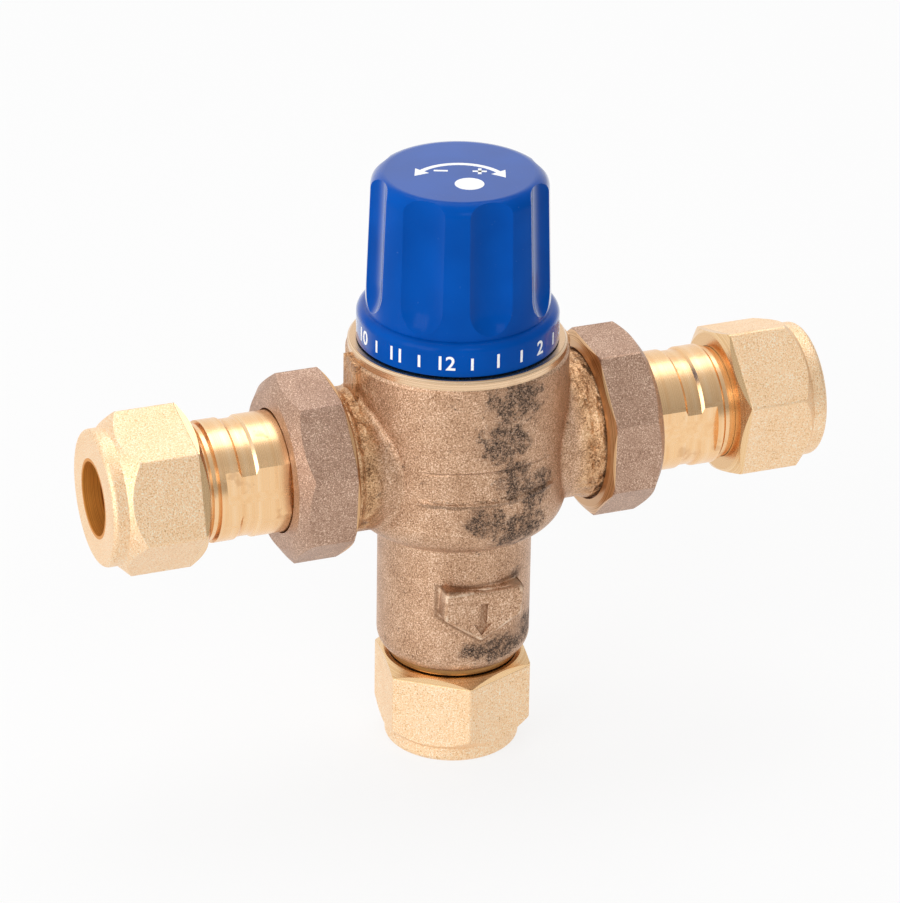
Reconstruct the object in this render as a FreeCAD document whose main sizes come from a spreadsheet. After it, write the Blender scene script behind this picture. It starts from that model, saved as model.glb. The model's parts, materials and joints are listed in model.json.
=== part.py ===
import FreeCAD, Part
import Sketcher

import math
import os

# A three-port mixing valve for 12.7 mm tube, in millimetres, +Z up.
# Origin: centre of the outlet nut's bottom face, on the valve's vertical axis.
# The hot inlet points along -X and the cold inlet along +X.  "Out" means away from
# the vertical axis along an inlet arm; "depth" is counted from a nut's outer end inwards.

SIZES = [
    # main places
    ("inlet_height", 57.4, "inlet axis above the outlet nut's bottom face"),
    # tube joint, the same at all three ports
    ("tube_bore", 6.45, "radius of every bore that takes the tube"),
    ("nut_length", 17.0, "compression nut, end to end"),
    ("nut_across", 25.0, "compression nut across flats"),
    ("nut_edge", 0.7, "rounding of the nut's six long edges"),
    ("nut_collar", 11.9, "radius of the nut's end collar"),
    ("nut_collar_length", 2.7, "length of the end collar"),
    ("nut_collar_round", 0.9, "rounding of the collar's end"),
    ("nut_slope", 2.6, "length of the cast slope from collar to hexagon"),
    ("nut_face", 12.2, "radius of the nut's turned inner face"),
    ("nut_chamfer", 1.3, "length of the turned chamfer beside the inner face"),
    ("nut_wall", 3.2, "thickness of the nut's end wall"),
    ("nut_cone", 2.0, "length of the cone that presses the olive"),
    ("nut_cone_radius", 8.4, "radius at the wide end of that cone"),
    ("thread_radius", 9.85, "mean radius of the tube joint's male thread"),
    ("thread_gap", 0.09, "radial gap between male and female threads"),
    ("spigot_setback", 7.2, "nut's outer end to the spigot's end face"),
    ("mouth_radius", 8.15, "radius of the spigot's conical mouth"),
    ("mouth_length", 2.6, "length of that cone"),
    ("socket_depth", 8.6, "spigot's end face to the tube stop"),
    ("stop_bore", 5.6, "radius of the water way past the tube stop"),
    ("olive_play", 0.4, "olive's ends to the nut's bore and the spigot's bore"),
    ("olive_radius", 7.85, "radius of the olive's middle"),
    ("olive_taper", 2.0, "length of each of the olive's tapers"),
    ("olive_lip", 0.2, "thickness of the olive's thin ends"),
    # union joint
    ("union_standoff", 3.6, "barrel to the union nut's inner face"),
    ("port_length", 5.1, "union nut's inner face to the end of the side port"),
    ("port_thread", 12.75, "mean radius of the side port's male thread"),
    ("union_length", 10.7, "union nut, end to end"),
    ("union_across", 31.0, "union nut across flats"),
    ("union_edge", 0.8, "rounding of the union nut's eight long edges"),
    ("union_face", 14.9, "radius of the union nut's turned inner face"),
    ("union_chamfer", 1.1, "length of the turned chamfer"),
    ("union_bevel", 2.2, "length of the cast bevel at the outer end"),
    ("union_outer_face", 13.7, "radius of the cast outer face"),
    ("union_entry", 13.6, "radius of the counterbore at the inner face"),
    ("union_entry_depth", 1.2, "depth of that counterbore"),
    ("union_lip", 2.1, "thickness of the lip that holds the tail's flange"),
    ("union_hole_gap", 0.3, "radial gap between the lip and the tail"),
    ("washer_thickness", 1.5, "union washer"),
    ("washer_hole", 7.4, "radius of the washer's hole"),
    ("washer_margin", 1.0, "washer short of the port's thread radius"),
    # inlet tail
    ("tail_length", 29.05, "tail, end to end"),
    ("tail_radius", 10.6, "radius of the tail's barrel"),
    ("tail_flange", 11.85, "radius of the tail's flange"),
    ("tail_flange_length", 2.0, "thickness of the flange"),
    ("spigot_length", 12.25, "length of the tail's threaded spigot"),
    ("tail_groove_inset", 5.3, "barrel's outer end to the middle of the shallow groove"),
    ("tail_groove_width", 2.6, "width of the groove's floor"),
    ("tail_groove_slope", 0.5, "length of each sloped side"),
    ("tail_groove_depth", 0.4, "depth of the groove"),
    ("runout_radius", 9.4, "radius of the thread run-out grooves"),
    ("runout_ring", 10.15, "radius of the ring between the two grooves"),
    ("runout_width", 0.9, "width of the groove next to the thread"),
    ("ring_width", 0.7, "width of the ring"),
    ("inner_groove_width", 0.5, "width of the groove next to the barrel"),
    ("flat_across", 19.2, "tail across its wrench flats"),
    ("flat_inset", 3.5, "tail's inner end to its wrench flats"),
    ("flat_outset", 1.1, "wrench flats to the barrel's outer end"),
    ("cartridge_bore", 8.1, "radius of the bore for the check valve"),
    ("stop_length", 5.45, "length of the narrow way between the tube stop and that bore"),
    # check valve
    ("cartridge_gap", 0.08, "gap round the check valve housing"),
    ("cartridge_inset", 0.85, "tail's inner end to the check valve housing"),
    ("cartridge_room", 6.9, "radius of the housing's chamber"),
    ("cartridge_seat", 5.2, "radius of the opening that the poppet closes"),
    ("seat_thickness", 2.6, "thickness of the housing's seat end"),
    ("guide_thickness", 1.2, "thickness of the guide's spokes"),
    ("guide_hub", 2.6, "radius of the guide's hub"),
    ("guide_hub_length", 3.0, "length of the guide's hub"),
    ("spoke_width", 1.3, "width of each guide spoke"),
    ("stem_radius", 1.5, "radius of the poppet's stem"),
    ("stem_gap", 0.08, "radial gap round the stem"),
    ("poppet_radius", 6.1, "radius of the poppet's head"),
    ("poppet_thickness", 1.5, "thickness of the poppet's head"),
    ("poppet_rest", 0.1, "gap between the poppet's head and its seat"),
    ("check_wire", 0.25, "radius of the check spring's wire"),
    ("check_coil", 3.2, "mean radius of the check spring"),
    ("check_turns", 4, "turns of the check spring"),
    ("housing_seal_wire", 0.55, "section radius of the housing's seal"),
    ("housing_seal_inset", 1.2, "housing's outer end to its seal"),
    # strainer
    ("strainer_rim", 9.6, "radius of the strainer's rim"),
    ("strainer_rim_length", 0.8, "thickness of the rim"),
    ("strainer_radius", 8.2, "outer radius of the strainer's basket"),
    ("strainer_length", 9.6, "length of the basket"),
    ("strainer_wall", 0.5, "thickness of the basket's wall"),
    ("strainer_slot", 1.5, "width of each slot in the basket"),
    # body casting
    ("leg_radius", 13.5, "outlet leg"),
    ("leg_bottom", 18.4, "bottom of the leg, above the outlet nut"),
    ("leg_foot", 11.8, "radius of the leg's bottom face"),
    ("leg_round", 3.6, "radius of the leg's rounded bottom edge"),
    ("leg_round_height", 3.0, "height of that rounding"),
    ("ring_radius", 11.4, "turned ring between the nut and the leg"),
    ("ring_gap", 0.25, "gap between the nut's inner face and that ring"),
    ("barrel_radius", 19.3, "barrel of the body"),
    ("barrel_drop", 13.8, "inlet axis to the underside of the barrel"),
    ("body_rise", 20.5, "inlet axis to the top face of the body"),
    ("shoulder_ledge", 0.4, "flat ledge between the leg and the barrel's rounded edge"),
    ("band_drop", 2.6, "inlet axis to the band's lower crease"),
    ("band_height", 5.7, "lower crease to the band's upper crease"),
    ("band_depth", 0.35, "how far the band lies inside the barrel"),
    ("band_margin", 6.1, "barrel's radius less half the width of the band"),
    ("rim_inset", 0.35, "turned rim inside the barrel"),
    ("rim_height", 1.7, "height of the turned rim"),
    ("rim_chamfer", 0.45, "chamfer of the rim"),
    ("boss_radius", 12.7, "side boss where it meets the barrel"),
    ("boss_collar", 13.15, "side boss beside the union nut"),
    ("boss_collar_length", 1.0, "union nut's inner face to the start of the boss's collar"),
    ("boss_flare", 0.8, "length of the flare up to that collar"),
    ("boss_fillet", 1.4, "cast fillet between boss and barrel"),
    ("seam_width", 6.0, "width of the cast pad above each boss"),
    ("seam_rise", 0.45, "height of that pad above the barrel"),
    ("seam_root", 2.0, "how far that pad is rooted in the barrel and the boss"),
    ("plaque_reach", 14.2, "vertical axis to the face of the flow plaque"),
    ("plaque_height", 31.2, "middle of the plaque above the base"),
    ("plaque_half", 7.2, "half the plaque's width"),
    ("plaque_top", 4.4, "plaque's middle to its top edge"),
    ("plaque_side", 0.9, "plaque's middle down to where its sides end"),
    ("plaque_point", 5.6, "plaque's middle down to its point"),
    ("plaque_root", 10.5, "vertical axis to the plaque's root in the wall"),
    ("plaque_round", 0.7, "rounding of the plaque's edges"),
    ("arrow_depth", 0.45, "depth of the flow arrow"),
    ("arrow_length", 7.2, "flow arrow, end to end"),
    ("arrow_head", 2.3, "length of the arrow's head"),
    ("arrow_half", 1.6, "half the width of the head"),
    ("arrow_shaft", 0.6, "half the width of the shaft"),
    # body inside
    ("chamber_radius", 10.2, "mixing chamber in the leg"),
    ("chamber_bottom", 21.0, "floor of the mixing chamber"),
    ("throat_top", 19.4, "top of the straight way below that chamber"),
    ("seat_drop", 11.9, "inlet axis to the ledge that carries the cold seat"),
    ("seat_bore", 12.4, "bore round the cold seat's foot"),
    ("barrel_wall", 3.3, "thickness of the barrel round the cold water's ring chamber"),
    ("seat_depth", 2.4, "depth of that bore"),
    ("land_radius", 12.6, "bore that the shuttle slides in"),
    ("land_length", 5.6, "length of that bore, half of it above the inlet axis"),
    ("rim_wall", 2.35, "turned rim round the recess that takes the bonnet's flange"),
    ("flange_width", 1.6, "width of the ledge under that flange"),
    ("flange_thickness", 1.5, "bonnet's flange, and depth of its recess"),
    ("port_bore", 9.0, "water way in each side port"),
    ("port_floor", 1.3, "ring chamber's wall to the end of that water way"),
    ("window_half", 5.5, "half the width of each inner window"),
    ("window_height", 3.5, "height of each inner window"),
    ("window_margin", 0.45, "window to the nearer end of the shuttle's bore"),
    # shuttle, seats and element
    ("shuttle_gap", 0.06, "radial gap round the shuttle"),
    ("shuttle_travel", 0.75, "shuttle's travel each way from mid-stroke"),
    ("shuttle_bore", 10.5, "inside radius of the shuttle's ring"),
    ("web_inset", 1.0, "shuttle's lower edge to its web"),
    ("web_thickness", 1.8, "thickness of the web"),
    ("hub_radius", 6.1, "radius of the web's hub"),
    ("web_spoke", 3.2, "width of each of the web's four spokes"),
    ("shuttle_seal_wire", 0.75, "section radius of the shuttle's seal"),
    ("cold_seat_tube", 11.9, "outside radius of the cold seat's tube"),
    ("cold_seat_bore", 10.7, "inside radius of the cold seat's tube"),
    ("cold_seat_foot", 1.9, "height of the cold seat's foot"),
    ("cold_seat_shelf", 1.1, "thickness of the shelf under the return spring"),
    ("shelf_bore", 8.0, "opening in that shelf"),
    ("seat_fit", 0.05, "gap round fixed pieces in their bores"),
    ("hot_seat_flange", 12.3, "outside radius of the hot seat"),
    ("hot_seat_thickness", 1.6, "thickness of the hot seat's flange"),
    ("hot_seat_bore", 9.9, "opening in the hot seat"),
    ("hot_seat_sleeve", 2.8, "length of the sleeve that holds it in the bonnet"),
    ("return_wire", 0.6, "radius of the return spring's wire"),
    ("return_coil", 9.1, "mean radius of the return spring"),
    ("return_turns", 3, "turns of the return spring"),
    ("element_cup", 5.2, "radius of the element's sensing cup"),
    ("element_cup_length", 16.0, "length of the cup below its collar"),
    ("element_collar", 5.8, "radius of the element's collar"),
    ("element_collar_length", 2.0, "thickness of the collar"),
    ("element_guide", 3.6, "radius of the element's guide"),
    ("element_guide_length", 9.6, "guide above the collar"),
    ("pin_radius", 1.9, "radius of the push pin"),
    ("pin_gap", 0.08, "radial gap round the pin"),
    ("pin_foot", 3.8, "pin's lower end below the collar's top"),
    ("pin_room", 2.4, "free depth of the guide's bore under the pin"),
    # bonnet, spindle and overtravel carrier
    ("bonnet_tube", 12.3, "outside radius of the bonnet's lower tube"),
    ("bonnet_tube_bore", 11.0, "inside radius of the lower tube"),
    ("bonnet_tube_overlap", 1.5, "lower end of the carrier's bore to the tube's top"),
    ("bonnet_across", 22.0, "bonnet's hexagon across flats"),
    ("bonnet_head", 5.6, "height of the hexagon"),
    ("guide_bore", 9.5, "bore that the carrier slides in"),
    ("guide_rise", 5.2, "shuttle's bore to the lower end of the carrier's bore"),
    ("guide_headroom", 2.7, "carrier's top to the ceiling of its bore"),
    ("neck_radius", 7.4, "bonnet's neck"),
    ("neck_length", 9.0, "ceiling of that bore to the neck's top"),
    ("spindle_radius", 4.5, "spindle in the neck"),
    ("spindle_gap", 0.06, "radial gap round the spindle"),
    ("spindle_flange", 7.0, "radius of the spindle's flange"),
    ("spindle_flange_thickness", 1.5, "thickness of that flange"),
    ("spindle_play", 0.05, "end play of the spindle"),
    ("spindle_thread", 5.0, "mean radius of the spindle's thread"),
    ("spindle_setback", 0.3, "spring chamber's ceiling to the spindle's lower end"),
    ("spindle_cover", 5.0, "spindle's upper end to the cap's top"),
    ("spline_count", 12, "splines on the spindle's head"),
    ("spline_depth", 0.55, "depth of the splines"),
    ("seal_groove_width", 1.4, "width of each spindle seal's groove"),
    ("seal_groove_depth", 1.2, "depth of each spindle seal's groove"),
    ("seal_low", 1.9, "guide's ceiling to the lower seal's middle"),
    ("seal_pitch", 2.5, "lower seal to upper seal"),
    ("clip_thickness", 0.9, "circlip and carrier clip"),
    ("clip_depth", 0.6, "depth of the circlip's groove"),
    ("clip_radius", 6.1, "outside radius of the circlip"),
    ("bonnet_seal_wire", 0.68, "section radius of the bonnet's seal"),
    ("bonnet_seal_rise", 2.1, "bonnet's lower tube to the middle of its seal"),
    ("carrier_gap", 0.15, "radial gap round the carrier"),
    ("carrier_rise", 1.2, "lower end of the carrier's bore to the carrier"),
    ("carrier_length", 12.7, "carrier, end to end"),
    ("carrier_room", 7.3, "radius of the carrier's spring chamber"),
    ("carrier_roof", 4.3, "thickness of the carrier's threaded roof"),
    ("key_width", 2.8, "width of each of the carrier's two keys"),
    ("key_reach", 10.4, "vertical axis to the end of a key"),
    ("key_gap", 0.15, "gap round a key"),
    ("key_length", 6.0, "height of a key"),
    ("clip_inset", 0.6, "carrier's lower end to its clip"),
    ("clip_groove", 0.6, "depth of the carrier clip's groove"),
    ("button_gap", 0.2, "radial gap round the button"),
    ("button_thickness", 1.8, "thickness of the button"),
    ("button_boss", 4.6, "radius of the button's boss in the spring"),
    ("button_boss_height", 1.2, "height of that boss"),
    ("button_socket", 1.0, "depth of the socket over the pin"),
    ("overtravel_wire", 0.5, "radius of the overtravel spring's wire"),
    ("overtravel_coil", 6.1, "mean radius of the overtravel spring"),
    ("overtravel_turns", 2, "turns of the overtravel spring"),
    # adjusting cap
    ("cap_gap", 0.3, "body's top to the cap's lower edge"),
    ("cap_inset", 1.8, "cap's collar inside the barrel"),
    ("collar_height", 5.8, "height of the collar"),
    ("collar_round", 1.5, "rounding of the collar's top edge"),
    ("grip_lean", 2.25, "collar to the grip's top rounding"),
    ("cap_round", 2.5, "rounding of the cap's top edge"),
    ("grip_height", 24.4, "collar's top to the cap's top"),
    ("cap_wall", 2.1, "thickness of the collar's wall"),
    ("cap_room", 11.5, "inside radius of the grip"),
    ("collar_step", 0.1, "collar's top to the inner step"),
    ("cap_roof", 3.0, "thickness of the cap's top"),
    ("cap_boss", 6.6, "radius of the boss on the spindle"),
    ("cap_boss_gap", 1.8, "bonnet's neck to that boss"),
    ("cap_spline_gap", 0.05, "gap round the splines"),
    ("flute_count", 8, "grip flutes"),
    ("flute_radius", 7.4, "radius of each flute's hollow"),
    ("flute_depth", 1.55, "depth of each flute"),
    ("flute_foot", 5.4, "collar's top to the middle of the flute's round end"),
]

HEX_ROUND = math.cos(math.pi / 6)
OCTAGON_ROUND = math.cos(math.pi / 8)
TOOL_SPARE = 3.0      # how far a cutting shape runs past what it cuts

# Round seals, in section radii.
SEAL_LINE = 1.02      # bore to the seal's mean line
GROOVE_FLOOR = 2.05   # bore to the floor of the seal's groove
GROOVE_HALF = 1.1     # half the width of that groove

# Turn of each hand-tightened piece about its own axis, in degrees.
NUT_TURN = {"hot": -16.4, "cold": 47.6, "outlet": 22.5}
UNION_TURN = {"hot": 16.9, "cold": -20.75}
TAIL_TURN = {"hot": 6.6, "cold": 2.8}
PLAQUE_TURN = 4.0

SIDES = ("hot", "cold")
OUTWARD = {"hot": -1, "cold": 1}

doc = FreeCAD.newDocument("mixing_valve")


class Size:
    """A length with its number and the spreadsheet expression that gives it."""

    def __init__(self, value, text):
        self.value = value
        self.text = text

    @staticmethod
    def of(other):
        return other if isinstance(other, Size) else Size(float(other), repr(float(other)))

    def joined(self, other, sign, value):
        return Size(value, "(%s %s %s)" % (self.text, sign, Size.of(other).text))

    def __add__(self, other):
        return self.joined(other, "+", self.value + Size.of(other).value)

    def __sub__(self, other):
        return self.joined(other, "-", self.value - Size.of(other).value)

    def __mul__(self, other):
        return self.joined(other, "*", self.value * Size.of(other).value)

    def __truediv__(self, other):
        return self.joined(other, "/", self.value / Size.of(other).value)

    def __radd__(self, other):
        return Size.of(other) + self

    def __rsub__(self, other):
        return Size.of(other) - self

    def __rmul__(self, other):
        return Size.of(other) * self

    def __neg__(self):
        return Size.of(0) - self


class Sizes:
    """The driving dimensions, each also a named cell of the spreadsheet."""

    def __init__(self, rows):
        sheet = doc.addObject("Spreadsheet::Sheet", "Sizes")
        for number, (name, value, note) in enumerate(rows, 1):
            sheet.set("A%d" % number, note)
            sheet.set("B%d" % number, str(value))
            sheet.setAlias("B%d" % number, name)
            setattr(self, name, Size(value, "Sizes." + name))


s = Sizes(SIZES)


class Arc:
    """A round stretch of an outline, from its own point to the next one."""

    def __init__(self, across, along, radius, turn):
        self.point = (across, along)
        self.radius = radius
        self.turn = turn          # 1 bends to the left of the way round, -1 to the right


def bind(item, name, size):
    item.setExpression(name, Size.of(size).text)


def arc_curve(start, end, radius, turn):
    """Arc of the given radius from start to end, as the sketch keeps it: anticlockwise."""
    middle = (start + end) * 0.5
    chord = end - start
    reach = math.sqrt(max(radius ** 2 - (chord.Length / 2) ** 2, 0.0))
    side = FreeCAD.Vector(-chord.y, chord.x, 0).normalize() * reach * turn
    centre = middle + side
    first, last = (start, end) if turn > 0 else (end, start)
    angles = [math.atan2(p.y - centre.y, p.x - centre.x) for p in (first, last)]
    circle = Part.Circle(centre, FreeCAD.Vector(0, 0, 1), radius)
    return Part.ArcOfCircle(circle, angles[0], angles[1])


def sketch_outline(body, name, plane, outline):
    """A closed sketch in one of the body's origin planes, every corner bound to the sheet."""
    sketch = body.newObject("Sketcher::SketchObject", name)
    planes = [item for item in body.Origin.OriginFeatures if item.Role == plane]
    sketch.AttachmentSupport = (planes[0], [""])
    sketch.MapMode = "FlatFace"
    corners = [item.point if isinstance(item, Arc) else item for item in outline]
    corners = [(Size.of(across), Size.of(along)) for across, along in corners]
    spots = [FreeCAD.Vector(across.value, along.value, 0) for across, along in corners]
    ends = []
    for number, item in enumerate(outline):
        start, end = spots[number], spots[(number + 1) % len(spots)]
        if isinstance(item, Arc):
            radius = Size.of(item.radius)
            edge = sketch.addGeometry(arc_curve(start, end, radius.value, item.turn), False)
            ends.append((1, 2) if item.turn > 0 else (2, 1))
            rule = Sketcher.Constraint("Radius", edge, radius.value)
            bind(sketch, "Constraints[%d]" % sketch.addConstraint(rule), radius)
        else:
            sketch.addGeometry(Part.LineSegment(start, end), False)
            ends.append((1, 2))
    for edge, (first, last) in enumerate(ends):
        following = (edge + 1) % len(ends)
        sketch.addConstraint(
            Sketcher.Constraint("Coincident", edge, last, following, ends[following][0]))
        for kind, size in zip(("DistanceX", "DistanceY"), corners[edge]):
            rule = Sketcher.Constraint(kind, -1, 1, edge, first, size.value)
            bind(sketch, "Constraints[%d]" % sketch.addConstraint(rule), size)
    return sketch


def turned(label, outline):
    """A body of revolution about Z, from (radius, height) corners."""
    body = doc.addObject("PartDesign::Body", label)
    sketch = sketch_outline(body, label + "_profile", "XZ_Plane", outline)
    feature = body.newObject("PartDesign::Revolution", label + "_turning")
    feature.Profile = sketch
    feature.ReferenceAxis = (sketch, ["V_Axis"])
    feature.Angle = 360
    sketch.Visibility = False
    return body


def slot(body, name, outline, width=None, added=False):
    """A cut or rib whose outline lies in the XZ plane, evenly either side of that plane."""
    sketch = sketch_outline(body, name + "_outline", "XZ_Plane", outline)
    kind = "PartDesign::Pad" if added else "PartDesign::Pocket"
    feature = body.newObject(kind, name)
    feature.Profile = sketch
    feature.Midplane = True
    if width is None:
        feature.Type = "ThroughAll"
    else:
        bind(feature, "Length", width)
    sketch.Visibility = False
    return feature


def repeated(body, feature, count, angle=360):
    """Copies of a feature round the body's Z axis."""
    pattern = body.newObject("PartDesign::PolarPattern", feature.Name + "_pattern")
    pattern.Originals = [feature]
    pattern.Axis = (feature.Profile[0], ["V_Axis"])
    pattern.Angle = angle
    pattern.Occurrences = int(count)
    body.Tip = pattern
    return pattern


def box_corners(left, bottom, right, top):
    return [(left, bottom), (right, bottom), (right, top), (left, top)]


def boolean(kind, label, base, tool):
    item = doc.addObject("Part::" + kind, label)
    item.Base = base
    item.Tool = tool
    return item


def fused(label, pieces):
    item = doc.addObject("Part::MultiFuse", label)
    item.Shapes = pieces
    item.Refine = True
    return item


def filleted(label, base, radius, wanted):
    """Rounds the edges of base for which wanted(edge) holds."""
    doc.recompute()
    item = doc.addObject("Part::Fillet", label)
    item.Base = base
    item.Edges = [(number, radius.value, radius.value)
                  for number, edge in enumerate(base.Shape.Edges, 1) if wanted(edge)]
    return item


def upright(edge):
    ends = edge.Vertexes
    return len(ends) == 2 and abs(ends[1].Z - ends[0].Z) > 0.99 * edge.Length


def rounded_bar(label, sides, across, roundness, length, edge_round):
    """A bar of regular section with its long edges rounded."""
    bar = doc.addObject("Part::Prism", label + "_bar")
    bar.Polygon = sides
    bind(bar, "Circumradius", across / (2 * roundness))
    bind(bar, "Height", length)
    return filleted(label + "_bar_rounded", bar, edge_round, upright)


def stand(item, height):
    """Puts a piece that is made about Z at its height on the vertical axis."""
    bind(item, "Placement.Base.z", height)
    return item


def aim(item, x_direction, x_place, turn=0.0):
    """Puts a piece that is made about Z on the inlet axis, its Z along X."""
    tip = FreeCAD.Rotation(FreeCAD.Vector(0, 1, 0), 90 * x_direction)
    roll = FreeCAD.Rotation(FreeCAD.Vector(0, 0, 1), turn)
    item.Placement = FreeCAD.Placement(FreeCAD.Vector(0, 0, 0), tip.multiply(roll))
    bind(item, "Placement.Base.x", x_place)
    bind(item, "Placement.Base.z", s.inlet_height)
    return item


def on_arm(item, side, turn=0.0):
    """Local Z runs out from the vertical axis along the side's arm."""
    return aim(item, OUTWARD[side], Size.of(0), turn)


def at_tube_joint(item, port, turn=0.0):
    """Local Z runs inwards from the outer end of the port's compression nut."""
    if port == "outlet":
        item.Placement.Rotation = FreeCAD.Rotation(FreeCAD.Vector(0, 0, 1), turn)
        return item
    return aim(item, -OUTWARD[port], arm_end * OUTWARD[port], turn)


def ring(label, major, minor):
    item = doc.addObject("Part::Torus", label)
    bind(item, "Radius1", major)
    bind(item, "Radius2", minor)
    return item


def spring(label, bottom, top, coil, wire, turns):
    """A coil spring about Z that fills the space from bottom to top.

    Each half turn is half of a tilted ring, and the halves run smoothly into each other.
    """
    rise = (top - bottom - 2 * wire) / (2 * turns)
    tilt = math.degrees(math.asin(rise.value / (2 * coil.value)))
    halves = []
    for number in range(int(2 * turns.value)):
        half = ring("%s_half_%d" % (label, number + 1), coil, wire)
        half.Angle3 = 180
        half.Placement.Rotation = (
            FreeCAD.Rotation(FreeCAD.Vector(0, 0, 1), 180 * number)
            * FreeCAD.Rotation(FreeCAD.Vector(0, 1, 0), tilt))
        bind(half, "Placement.Base.z", bottom + wire + rise * (number + 0.5))
        halves.append(half)
    return fused(label, halves)


def split_ring(label, inner, outer, bottom, thickness, gap):
    """A flat ring with a gap at one side, so that it can be sprung into its groove."""
    body = turned(label, box_corners(inner, bottom, outer, bottom + thickness))
    cut = body.newObject("PartDesign::Pocket", label + "_gap")
    cut.Profile = sketch_outline(body, label + "_gap_outline", "XZ_Plane", box_corners(
        0, bottom - TOOL_SPARE, outer + TOOL_SPARE, bottom + thickness + TOOL_SPARE))
    cut.Midplane = True
    bind(cut, "Length", gap)
    return body


# Places that several pieces share.
barrel_bottom = s.inlet_height - s.barrel_drop
body_top = s.inlet_height + s.body_rise
rim_bottom = body_top - s.rim_height
band_bottom = s.inlet_height - s.band_drop
band_top = band_bottom + s.band_height
seat_ledge = s.inlet_height - s.seat_drop
cold_room_bottom = seat_ledge + s.seat_depth
shuttle_middle = s.inlet_height
land_bottom = shuttle_middle - s.land_length / 2
land_top = shuttle_middle + s.land_length / 2
guide_bottom = land_top + s.guide_rise
bonnet_tube_top = guide_bottom + s.bonnet_tube_overlap
bonnet_seal_height = bonnet_tube_top + s.bonnet_seal_rise
carrier_bottom = guide_bottom + s.carrier_rise
carrier_top = carrier_bottom + s.carrier_length
carrier_ceiling = carrier_top - s.carrier_roof
guide_top = carrier_top + s.guide_headroom
neck_top = guide_top + s.neck_length
cap_bottom = body_top + s.cap_gap
collar_top = cap_bottom + s.collar_height
cap_top = collar_top + s.grip_height
cap_collar = s.barrel_radius - s.cap_inset
grip_head = cap_collar - s.grip_lean
cap_room_bottom = collar_top - s.collar_step
cap_boss_bottom = neck_top + s.cap_boss_gap
spindle_top = cap_top - s.spindle_cover
spindle_foot = carrier_ceiling + s.spindle_setback
shoulder_round = s.barrel_radius - s.leg_radius - s.shoulder_ledge
rim_radius = s.barrel_radius - s.rim_inset
top_recess = rim_radius - s.rim_wall
top_bore = top_recess - s.flange_width
cold_room = s.barrel_radius - s.barrel_wall
port_depth = cold_room + s.port_floor
union_inner = s.barrel_radius + s.union_standoff
union_end = union_inner + s.union_length
union_bore = s.port_thread + s.thread_gap
port_end = union_inner + s.port_length
tail_start = port_end + s.washer_thickness
tail_shoulder = tail_start + s.tail_flange_length
spigot_end = tail_start + s.tail_length
tail_barrel_end = spigot_end - s.spigot_length
arm_end = spigot_end + s.spigot_setback
cone_top = s.nut_wall + s.nut_cone
thread_bore = s.thread_radius + s.thread_gap
cartridge_end = spigot_end - s.socket_depth - s.stop_length
housing_start = tail_start + s.cartridge_inset
housing_end = cartridge_end - s.seat_fit
housing_radius = s.cartridge_bore - s.cartridge_gap
seat_plane = housing_end - s.seat_thickness
poppet_face = seat_plane - s.poppet_rest
poppet_back = poppet_face - s.poppet_thickness
shuttle_bottom = land_bottom
shuttle_top = land_top
web_bottom = shuttle_bottom + s.web_inset
web_top = web_bottom + s.web_thickness
cold_seat_top = shuttle_bottom - s.shuttle_travel
hot_seat_face = shuttle_top + s.shuttle_travel
collar_bottom = web_bottom - s.element_collar_length
clip_bottom = carrier_bottom + s.clip_inset
button_bottom = clip_bottom + s.clip_thickness
button_top = button_bottom + s.button_thickness
spindle_shoulder = guide_top - s.spindle_play
seal_floor = s.spindle_radius - s.seal_groove_depth
circlip_floor = s.spindle_radius - s.clip_depth


def compression_nut(port):
    label = port + "_compression_nut"
    corner = s.nut_across / (2 * HEX_ROUND)
    shape = turned(label + "_turned", [
        (s.tube_bore, 0),
        Arc(s.nut_collar - s.nut_collar_round, 0, s.nut_collar_round, 1),
        (s.nut_collar, s.nut_collar_round),
        (s.nut_collar, s.nut_collar_length),
        (corner, s.nut_collar_length + s.nut_slope),
        (corner, s.nut_length - s.nut_chamfer),
        (s.nut_face, s.nut_length),
        (thread_bore, s.nut_length),
        (thread_bore, cone_top),
        (s.nut_cone_radius, cone_top),
        (s.tube_bore, s.nut_wall),
    ])
    bar = rounded_bar(label, 6, s.nut_across, HEX_ROUND, s.nut_length, s.nut_edge)
    return at_tube_joint(boolean("Common", label, bar, shape), port, NUT_TURN[port])


def olive(port):
    """The soft ring that the nut squeezes onto the tube."""
    start = s.nut_wall + s.olive_play
    end = s.spigot_setback + s.mouth_length - s.olive_play
    lip = s.tube_bore + s.olive_lip
    return at_tube_joint(turned(port + "_olive", [
        (s.tube_bore, start),
        (lip, start),
        (s.olive_radius, start + s.olive_taper),
        (s.olive_radius, end - s.olive_taper),
        (lip, end),
        (s.tube_bore, end),
    ]), port)


def union_nut(side):
    label = side + "_union_nut"
    corner = s.union_across / (2 * OCTAGON_ROUND)
    start = union_inner
    shape = turned(label + "_turned", [
        (s.union_entry, start),
        (s.union_face, start),
        (corner, start + s.union_chamfer),
        (corner, union_end - s.union_bevel),
        (s.union_outer_face, union_end),
        (s.tail_radius + s.union_hole_gap, union_end),
        (s.tail_radius + s.union_hole_gap, union_end - s.union_lip),
        (union_bore, union_end - s.union_lip),
        (union_bore, start + s.union_entry_depth),
        (s.union_entry, start + s.union_entry_depth),
    ])
    bar = rounded_bar(label, 8, s.union_across, OCTAGON_ROUND, s.union_length, s.union_edge)
    stand(bar.Base, start)
    return on_arm(boolean("Common", label, bar, shape), side, UNION_TURN[side])


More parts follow.
